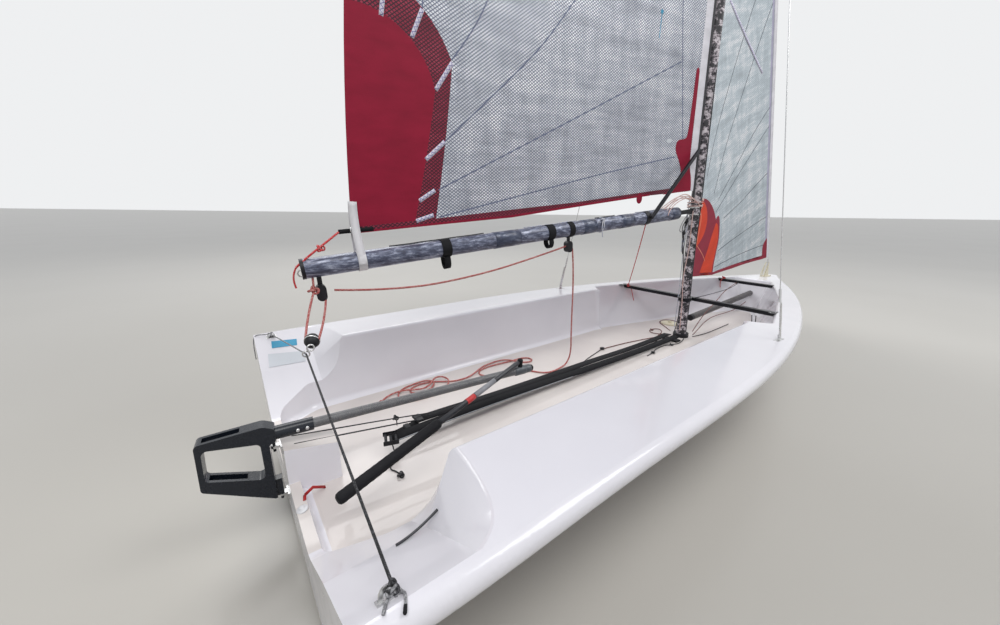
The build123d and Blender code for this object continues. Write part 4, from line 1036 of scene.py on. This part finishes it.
def make_mast_lines():
    for i, (height, tip) in enumerate(((0.862, 0.12), (0.874, -0.14), (0.888, 0.06))):
        axis = MAST_UP + AHEAD * tip + PORT * tip * 0.6
        ring(f"tack_lashing_{i}", on_mast(height, 0.009), axis, 0.0425, 0.0028, "pink_rope")
    for i in range(5):
        side = -0.030 + 0.011 * i
        peak = 0.034 + 0.012 * (i % 3)
        line = [on_mast(0.850 + 0.008 * i, -0.006, -0.036 + 0.002 * i),
                on_mast(0.885 + peak / 2, 0.050, side),
                in_sail_plane(0.100, 0.052 + peak, side), in_sail_plane(0.200, 0.040 + peak / 2, side),
                on_boom(0.262 + 0.012 * i, side, 0.020), on_boom(0.270 + 0.012 * i, side * 1.2, 0.000)]
        piece = tube(f"tack_line_{i}", line, 0.0026, "pink_rope", None)
        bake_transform(piece)
    knot("tack_knot", on_mast(0.905, -0.028, -0.022), 0.0030, "pink_rope", 1.5, 0.7)
    lines = {
        "cunningham": ("black_rope", (0.80, 0.052, 0.014), (0.74, 0.075, 0.016), (0.66, 0.060, 0.022),
                       (0.50, 0.046, 0.012), (0.30, 0.048, -0.004), (0.10, 0.045, 0.010),
                       (0.025, 0.060, 0.020)),
        "downhaul": ("pink_rope", (0.84, 0.048, -0.012), (0.76, 0.062, -0.018), (0.60, 0.046, -0.014),
                     (0.42, 0.050, 0.006), (0.22, 0.044, -0.010), (0.06, 0.052, -0.014)),
        "halyard": ("white_rope", (0.93, 0.010, 0.037), (0.70, 0.014, 0.036), (0.45, 0.020, 0.036),
                    (0.20, 0.012, 0.038), (0.06, 0.020, 0.040)),
        "spinnaker_halyard": ("black_rope", (1.60, 0.012, -0.034), (0.90, 0.004, -0.0375),
                              (0.55, 0.014, -0.034), (0.28, 0.002, -0.036), (0.05, 0.030, -0.046)),
        "line_loop_0": ("black_rope", (0.795, 0.042, 0.020), (0.755, 0.085, 0.028), (0.70, 0.095, 0.016),
                        (0.66, 0.070, 0.020), (0.74, 0.050, 0.026), (0.775, 0.042, 0.010)),
        "line_loop_1": ("grey_rope", (0.85, 0.042, -0.010), (0.76, 0.070, -0.004), (0.71, 0.120, 0.010),
                        (0.73, 0.135, 0.020), (0.80, 0.090, 0.014), (0.83, 0.042, 0.010)),
        "line_loop_2": ("white_rope", (0.83, 0.038, 0.026), (0.72, 0.048, 0.036), (0.60, 0.060, 0.030),
                        (0.58, 0.075, 0.020), (0.68, 0.060, 0.012), (0.81, 0.042, 0.010)),
        "line_loop_3": ("black_rope", (0.80, 0.044, 0.012), (0.69, 0.084, 0.020), (0.55, 0.066, 0.014),
                        (0.62, 0.046, 0.026), (0.78, 0.042, 0.010)),
    }
    for name, (material, *places) in lines.items():
        laid(name, 0.0026, material, on_mast, *places)
    cord_block("gooseneck_block_0", on_mast(0.770, 0.060, 0.012), 0.012, (1, 0.3, 0), MAST_UP)
    cord_block("gooseneck_block_1", on_mast(0.705, 0.070, 0.020), 0.012, (0.4, 1, 0), MAST_UP)
    # the strut's red line to the cross bar
    high, low = on_boom(0.430, -0.012, -0.036), at(BAR_STATION, 0.445, 0.006)
    line = [high, high.lerp(low, 0.45) - UP * 0.03, low]
    boom_to_hull("strut_line", line, 0.0026, "bright_rope", high, low)
    knot("strut_line_knot", at(BAR_STATION, 0.445, 0.010), 0.0030, "bright_rope", 1.5, 1.1)
    laid("strut_line_tail", 0.0024, "bright_rope", at, (BAR_STATION, 0.445, 0.008), (2.412, 0.440, 0.004),
         (2.420, 0.428, -0.050), (2.440, 0.420, -0.115))
    screw = [(0, 0.0040), (0.0016, 0.0038), (0.0024, 0.0022), (0.0016, 0.0010)]
    for side, name in SIDES:
        corners = ((2.362, 0.475), (2.406, 0.475), (2.406, 0.512), (2.362, 0.512))
        bar_end = [at(station, side * y, 0.0030) for station, y in corners]
        slab(f"bar_plate_{name}", bar_end, 0.002, "dark")
        for k, (station, y) in enumerate(((2.374, 0.484), (2.396, 0.502))):
            lathe(f"bar_screw_{name}_{k}", screw, at(station, side * y, 0.005), UP, "steel", sides=12)
    laid("bar_loop", 0.0024, "black_rope", at, (BAR_STATION, -0.395, -0.031), (2.380, -0.402, -0.075),
         (2.388, -0.412, -0.095), (2.386, -0.420, -0.070), (BAR_STATION, -0.416, -0.031))


# Lines on the sole, the toe straps' ends and the small fittings
STRAP_END = at(0.446, 0.029, -0.224)
STRAP_FITTING = at(0.318, -0.026, -0.226)


def make_straps():
    heights = ((2.262, -0.243), (2.096, -0.250), (1.779, -0.250), (1.495, -0.242), (1.108, -0.240),
               (0.744, -0.234), (0.560, -0.226), (0.446, -0.224))
    wide = [at(station, STRAP_END.y, rise) for station, rise in heights]
    first = strap("toe_strap_wide", wide, 0.050, 0.0036, "black_web", UP + PORT * 0.1)
    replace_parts(first, "toe_straps")
    narrow = [at(2.262, -0.032, -0.243), at(2.000, -0.032, -0.250), at(1.267, -0.030, -0.236),
              at(0.831, -0.030, -0.223), at(0.500, -0.030, -0.220), STRAP_FITTING]
    tilted = UP - PORT * 0.5
    strap("toe_strap_narrow", narrow, 0.034, 0.0036, "black_web", tilted)
    edge = [p + Vector((0, -0.0150, -0.0055)) for p in narrow[2:]]
    strap("toe_strap_edge", edge, 0.003, 0.0012, "grey_web", tilted)
    # the wide strap's buckle, its doubled end and the frame that both straps reach
    tongue = [STRAP_END + Vector((0.030, 0, 0.003)), STRAP_END - Vector((0.035, 0.010, 0.010)),
              at(0.352, 0.004, -0.229)]
    strap("strap_tongue", tongue, 0.026, 0.003, "black_web", UP)
    buckles = ((STRAP_END, 0.015, 0.025), (at(0.394, 0.010, -0.231), 0.011, 0.018))
    for i, (place, a, b) in enumerate(buckles):
        corners = [place + Vector(gap) for gap in ((-a, -b, 0), (a, -b, 0), (a, b, 0), (-a, b, 0))]
        slab(f"strap_buckle_{i}", corners, 0.009, "dark")
    side = Vector((0.30, 0.95, 0))
    ahead = Vector((0.95, -0.30, 0))
    roller = [(-0.030, 0.0035), (-0.028, 0.0052), (0.028, 0.0052), (0.030, 0.0035)]
    for i, out in enumerate((-0.017, 0, 0.017)):
        place = STRAP_FITTING + ahead * out + UP * 0.002
        lathe(f"fitting_roller_{i}", roller, place, side, "dark", sides=14)
    for i, out in enumerate((-0.029, 0.029)):
        corners = ((-0.026, -0.007), (0.026, -0.007), (0.026, 0.010), (-0.026, 0.010))
        plate = [STRAP_FITTING + side * out + ahead * a + UP * b for a, b in corners]
        slab(f"fitting_cheek_{i}", plate, 0.003, "dark", side)
    # elastic lines from the transom that hold the straps up
    middle = at(0.362, 0.036, -0.191)
    line = [at(0.030, -0.024, -0.127), STRAP_END + Vector((0, -0.014, 0.006))]
    tube("strap_cord_a", line, 0.0024, "black_rope")
    line = [at(0.030, 0.024, -0.127), middle, STRAP_END + Vector((0.05, 0.006, 0.006))]
    tube("strap_cord_b", line, 0.0022, "black_rope")
    knot("strap_cord_knot", middle, 0.0026, "black_rope", 1.3, 0.5)
    line = [middle, middle + Vector((0.004, -0.002, -0.012)), middle + Vector((0.002, -0.004, -0.030))]
    rope("strap_cord_end", line, 0.0018, "black_rope")


def make_sole_lines():
    slack = {
        "knob_cord": ("black_rope", 0.0022, (0.316, -0.075), (0.290, -0.095), (0.276, -0.119),
                      (0.292, -0.140), (0.294, -0.165)),
        "shock_cord": ("black_rope", 0.0024, (1.729, 0.156), (1.560, 0.120), (1.400, 0.062),
                       (1.300, 0.034)),
        "foot_line_a": ("brown_rope", 0.0026, (2.336, 0.060), (2.250, 0.140), (2.330, 0.205),
                        (2.410, 0.170), (2.350, 0.110), (2.230, 0.090), (2.172, 0.050)),
        "foot_line_b": ("black_rope", 0.0026, (2.340, -0.045), (2.240, -0.080), (2.163, -0.059),
                        (2.098, -0.034), (1.991, -0.042), (1.930, -0.064), (1.860, -0.070)),
        "foot_line_c": ("brown_rope", 0.0028, (2.330, 0.050), (2.200, 0.085), (2.080, 0.110),
                        (1.940, 0.135), (1.790, 0.150), (1.729, 0.156)),
        "foot_line_d": ("brown_rope", 0.0026, (2.430, 0.100), (2.500, 0.180), (2.560, 0.265),
                        (2.660, 0.275), (2.700, 0.200), (2.640, 0.120), (2.520, 0.090)),
        "sprit_line_a": ("black_rope", 0.0026, (2.430, -0.060), (2.520, -0.080), (2.700, -0.085),
                         (2.950, -0.080)),
        "strap_line": ("black_rope", 0.0024, (2.120, 0.070), (1.900, 0.078), (1.600, 0.074),
                       (1.200, 0.076), (0.900, 0.070), (0.600, 0.072)),
    }
    for name, (material, radius, *places) in slack.items():
        rope(name, lying(places, radius + 0.0006), radius, material)
    knots = {
        "knob_end": (0.294, -0.167, "black_rope"),
        "foot_knot_a_end": (2.330, 0.185, "brown_rope"),
        "foot_knot_b_end": (2.150, -0.060, "black_rope"),
        "hatch_knot_end": (2.520, 0.092, "brown_rope"),
    }
    for name, (station, y, material) in knots.items():
        knot(name, on_hull(station, y, 0.0062), 0.0028, material, 1.3, 0.2)
    blocks = {
        "shock_block": (1.729, 0.156, 0.014),
        "foot_block": (1.930, -0.064, 0.012),
        "strap_block": (2.140, 0.045, 0.012),
    }
    for name, (station, y, size) in blocks.items():
        cord_block(name, on_hull(station, y, size * 0.40 + 0.002), size, UP, AHEAD)
    rise = [STRAP_FITTING, at(0.316, -0.050, -0.250), at(0.316, -0.075, -0.2715)]
    tube("knob_cord_rise", rise, 0.0022, "black_rope")
    # a strap that ends on the sill and comes down over its edge to the sole
    corner = at(0.029, -0.126, -0.2335)
    lines = ([at(0.025, -0.147, -0.2335), at(0.027, -0.136, -0.2335), corner],
             [corner, at(0.052, -0.121, -0.2225), at(0.090, -0.075, -0.2730)])
    section = [(-0.004, -0.001), (0.004, -0.001), (0.004, 0.001), (-0.004, 0.001)]
    for i, facing in enumerate((UP, Vector((0.60, -0.75, 0.80)))):
        sweep(f"sill_strap_{i}", lines[i], section, "red_web", hint=facing)
    # the drain bung on the transom's sill, and a loose stick in the starboard scoop
    bung = [(0, 0.015), (0.003, 0.0148), (0.005, 0.011), (0.004, 0.008), (0.009, 0.0075), (0.011, 0.004)]
    lathe("drain_bung", bung, at(0.014, -0.178, -0.2352), (-0.2, 0, 1), "bung")
    stick = [on_hull(0.132, -0.557, 0.003), on_hull(0.175, -0.555, 0.004), on_hull(0.228, -0.552, 0.003)]
    tube("loose_stick", stick, 0.0028, "dark_tube")


# Lines at the bow bar and beside the bowsprit
def make_bow_lines():
    foot = STAY_FOOT + STAY_UP * 0.02
    for i, (ahead, out, low) in enumerate(((-0.045, -0.012, 0.004), (-0.010, 0.014, 0.006),
                                           (-0.080, 0.006, 0.004))):
        end = on_hull(3.80 + ahead, out, low)
        line = [foot + Vector((ahead * 0.3, out, 0.01)),
                foot.lerp(end, 0.5) + Vector((ahead * 0.5, out, 0)), end]
        rope(f"stay_lashing_{i}", line, 0.0034, "cream_rope")
    knot("bow_bar_knot", at(3.375, 0.165, 0.008), 0.0034, "bright_rope", 1.5, 0.6)
    laid("bow_bar_tail", 0.0028, "bright_rope", at, (3.375, 0.165, 0.006), (3.350, 0.172, 0.000),
         (3.345, 0.178, -0.040), (3.352, 0.172, -0.075))
    cord_block("bow_bar_block", at(3.352, 0.051, -0.012), 0.014, (0.2, 1, 0), AHEAD)
    laid("jib_line_a", 0.0026, "brown_rope", at, (3.345, 0.051, -0.014), (3.050, 0.020, -0.035),
         (2.741, -0.050, -0.074), (2.546, -0.055, -0.140), (2.440, -0.050, -0.240))
    laid("jib_line_b", 0.0022, "black_rope", at, (3.358, 0.040, -0.012), (3.100, -0.020, -0.010),
         (2.700, -0.050, -0.004), (2.372, -0.056, 0.006))
    laid("sprit_line_b", 0.0026, "brown_rope", at, (2.452, -0.050, -0.266), (2.490, -0.046, -0.262),
         (2.632, -0.056, -0.175), (2.932, -0.056, -0.183), (3.120, -0.056, -0.185), (3.300, -0.055, -0.150))


# The tiller's end and its extension
def make_extension():
    def turned(name, profile, place, axis, material):
        return lathe(name, profile, place, axis, material, RUDDER)

    stem = [(0.012, 0.008), (0.020, 0.0098), (0.455, 0.0098)]
    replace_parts(turned("extension_tube", stem, KNUCKLE, EXTENSION_RUN, "dark_tube"), "tiller_extension")
    grip = [(0.445, 0.0105), (0.448, 0.0150), (0.460, 0.0168)]
    grip += [(0.470 + 0.010 * k, 0.0168 if k % 2 else 0.0162) for k in range(31)]
    grip += [(0.784, 0.0168), (0.792, 0.0150), (0.796, 0.0100)]
    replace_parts(turned("extension_foam", grip, KNUCKLE, EXTENSION_RUN, "rubber"), "extension_grip")
    band = [(0.277, 0.0099), (0.2775, 0.0104), (0.3175, 0.0104), (0.318, 0.0099)]
    turned("extension_band", band, KNUCKLE, EXTENSION_RUN, "red_band")
    angles = [math.radians(-75 + 15 * k) for k in range(11)]
    section = [(0.0103 * math.cos(a), 0.0103 * math.sin(a)) for a in angles]
    section += [(0.0096 * math.cos(a), 0.0096 * math.sin(a)) for a in angles[::-1]]
    line = [KNUCKLE + EXTENSION_RUN * t for t in (0.165, 0.220, 0.275)]
    side = EXTENSION_RUN.cross(UP).normalized()
    facing = (UP - side * 0.8).cross(EXTENSION_RUN)
    sweep("extension_label", line, section, "pale_label", RUDDER, facing)
    for i, (first, last, wide) in enumerate(((0.835, 0.888, 0.0185), (0.880, 0.914, 0.0170))):
        profile = [(first, 0.0150), (first + 0.003, wide), (last - 0.004, wide), (last, wide * 0.9)]
        turned(f"tiller_end_{i}", profile, TILLER_START, RUDDER_AHEAD, "end_block")
    plug = [(0.913, 0.0135), (0.921, 0.0130), (0.925, 0.0095)]
    turned("tiller_plug", plug, TILLER_START, RUDDER_AHEAD, "rubber")
    bolt = [(0, 0.006), (0.003, 0.0056), (0.0045, 0.003)]
    for i, t in enumerate((0.055, 0.080)):
        place = TILLER_START + RUDDER_AHEAD * t - PORT * 0.0188
        lathe(f"tiller_bolt_{i}", bolt, place, (0, -1, 0), "steel", RUDDER, 6)


# Blank plates and stickers
def make_labels():
    blue = [(0.060, 0.687), (0.158, 0.677), (0.153, 0.644), (0.056, 0.651)]
    plate = [(0.037, 0.625), (0.178, 0.606), (0.166, 0.554), (0.031, 0.560)]
    slab("blue_sticker", lying(blue, 0.0012), 0.0006, "blue")
    slab("pale_plate", lying(plate, 0.0012), 0.0006, "plate")


def make_stage():
    scene = bpy.context.scene
    scene.view_settings.view_transform = "Standard"
    mesh = bpy.data.meshes.new("floor")
    bm = bmesh.new()
    bmesh.ops.create_grid(bm, x_segments=1, y_segments=1, size=200)
    bm.to_mesh(mesh)
    bm.free()
    floor = bpy.data.objects.new("floor", mesh)
    floor.location.z = -0.0005
    n = Nodes("floor", (0.47, 0.45, 0.41), 0.28)
    n.color(n.ramp(n.noise(0.5, 2), [(0.3, (0.46, 0.44, 0.40)), (0.7, (0.49, 0.47, 0.43))]))
    mesh.materials.append(n.mat)
    scene.collection.objects.link(floor)
    # a dim world lights the object, and the camera and the reflections see a pale one
    world = bpy.data.worlds.new("world")
    scene.world = world
    world.use_nodes = True
    nodes, links = world.node_tree.nodes, world.node_tree.links
    plain = nodes["Background"]
    plain.inputs["Color"].default_value = (0.72, 0.74, 0.78, 1)
    plain.inputs["Strength"].default_value = 0.50
    pale = nodes.new("ShaderNodeBackground")
    pale.inputs["Color"].default_value = (0.86, 0.87, 0.88, 1)
    path = nodes.new("ShaderNodeLightPath")
    seen = nodes.new("ShaderNodeMath")
    seen.operation = "MAXIMUM"
    links.new(path.outputs["Is Camera Ray"], seen.inputs[0])
    links.new(path.outputs["Is Glossy Ray"], seen.inputs[1])
    both = nodes.new("ShaderNodeMixShader")
    for i, socket in enumerate((seen.outputs[0], plain.outputs[0], pale.outputs[0])):
        links.new(socket, both.inputs[i])
    links.new(both.outputs[0], nodes["World Output"].inputs["Surface"])
    lamps = (
        ((-3.5, -3.0, 6.5), 4.0, 230, (0, 0, 0.4)),
        ((3.5, -3.5, 7.0), 4.0, 230, (0.5, 0, 0.4)),
        ((0.0, 5.0, 6.5), 5.0, 270, (0, 0, 0.6)),
    )
    for i, (place, size, power, aim) in enumerate(lamps):
        data = bpy.data.lights.new(f"lamp_{i}", "AREA")
        data.size = size
        data.energy = power
        lamp = bpy.data.objects.new(f"lamp_{i}", data)
        lamp.location = place
        lamp.rotation_euler = (Vector(aim) - Vector(place)).to_track_quat("-Z", "Y").to_euler()
        scene.collection.objects.link(lamp)


make_camera()
make_cords()
make_stage()
dress_nodes()
make_mainsail()
make_jib()
make_mainsheet()
make_boom_trim()
make_mast_lines()
make_straps()
make_sole_lines()
make_bow_lines()
make_extension()
make_labels()
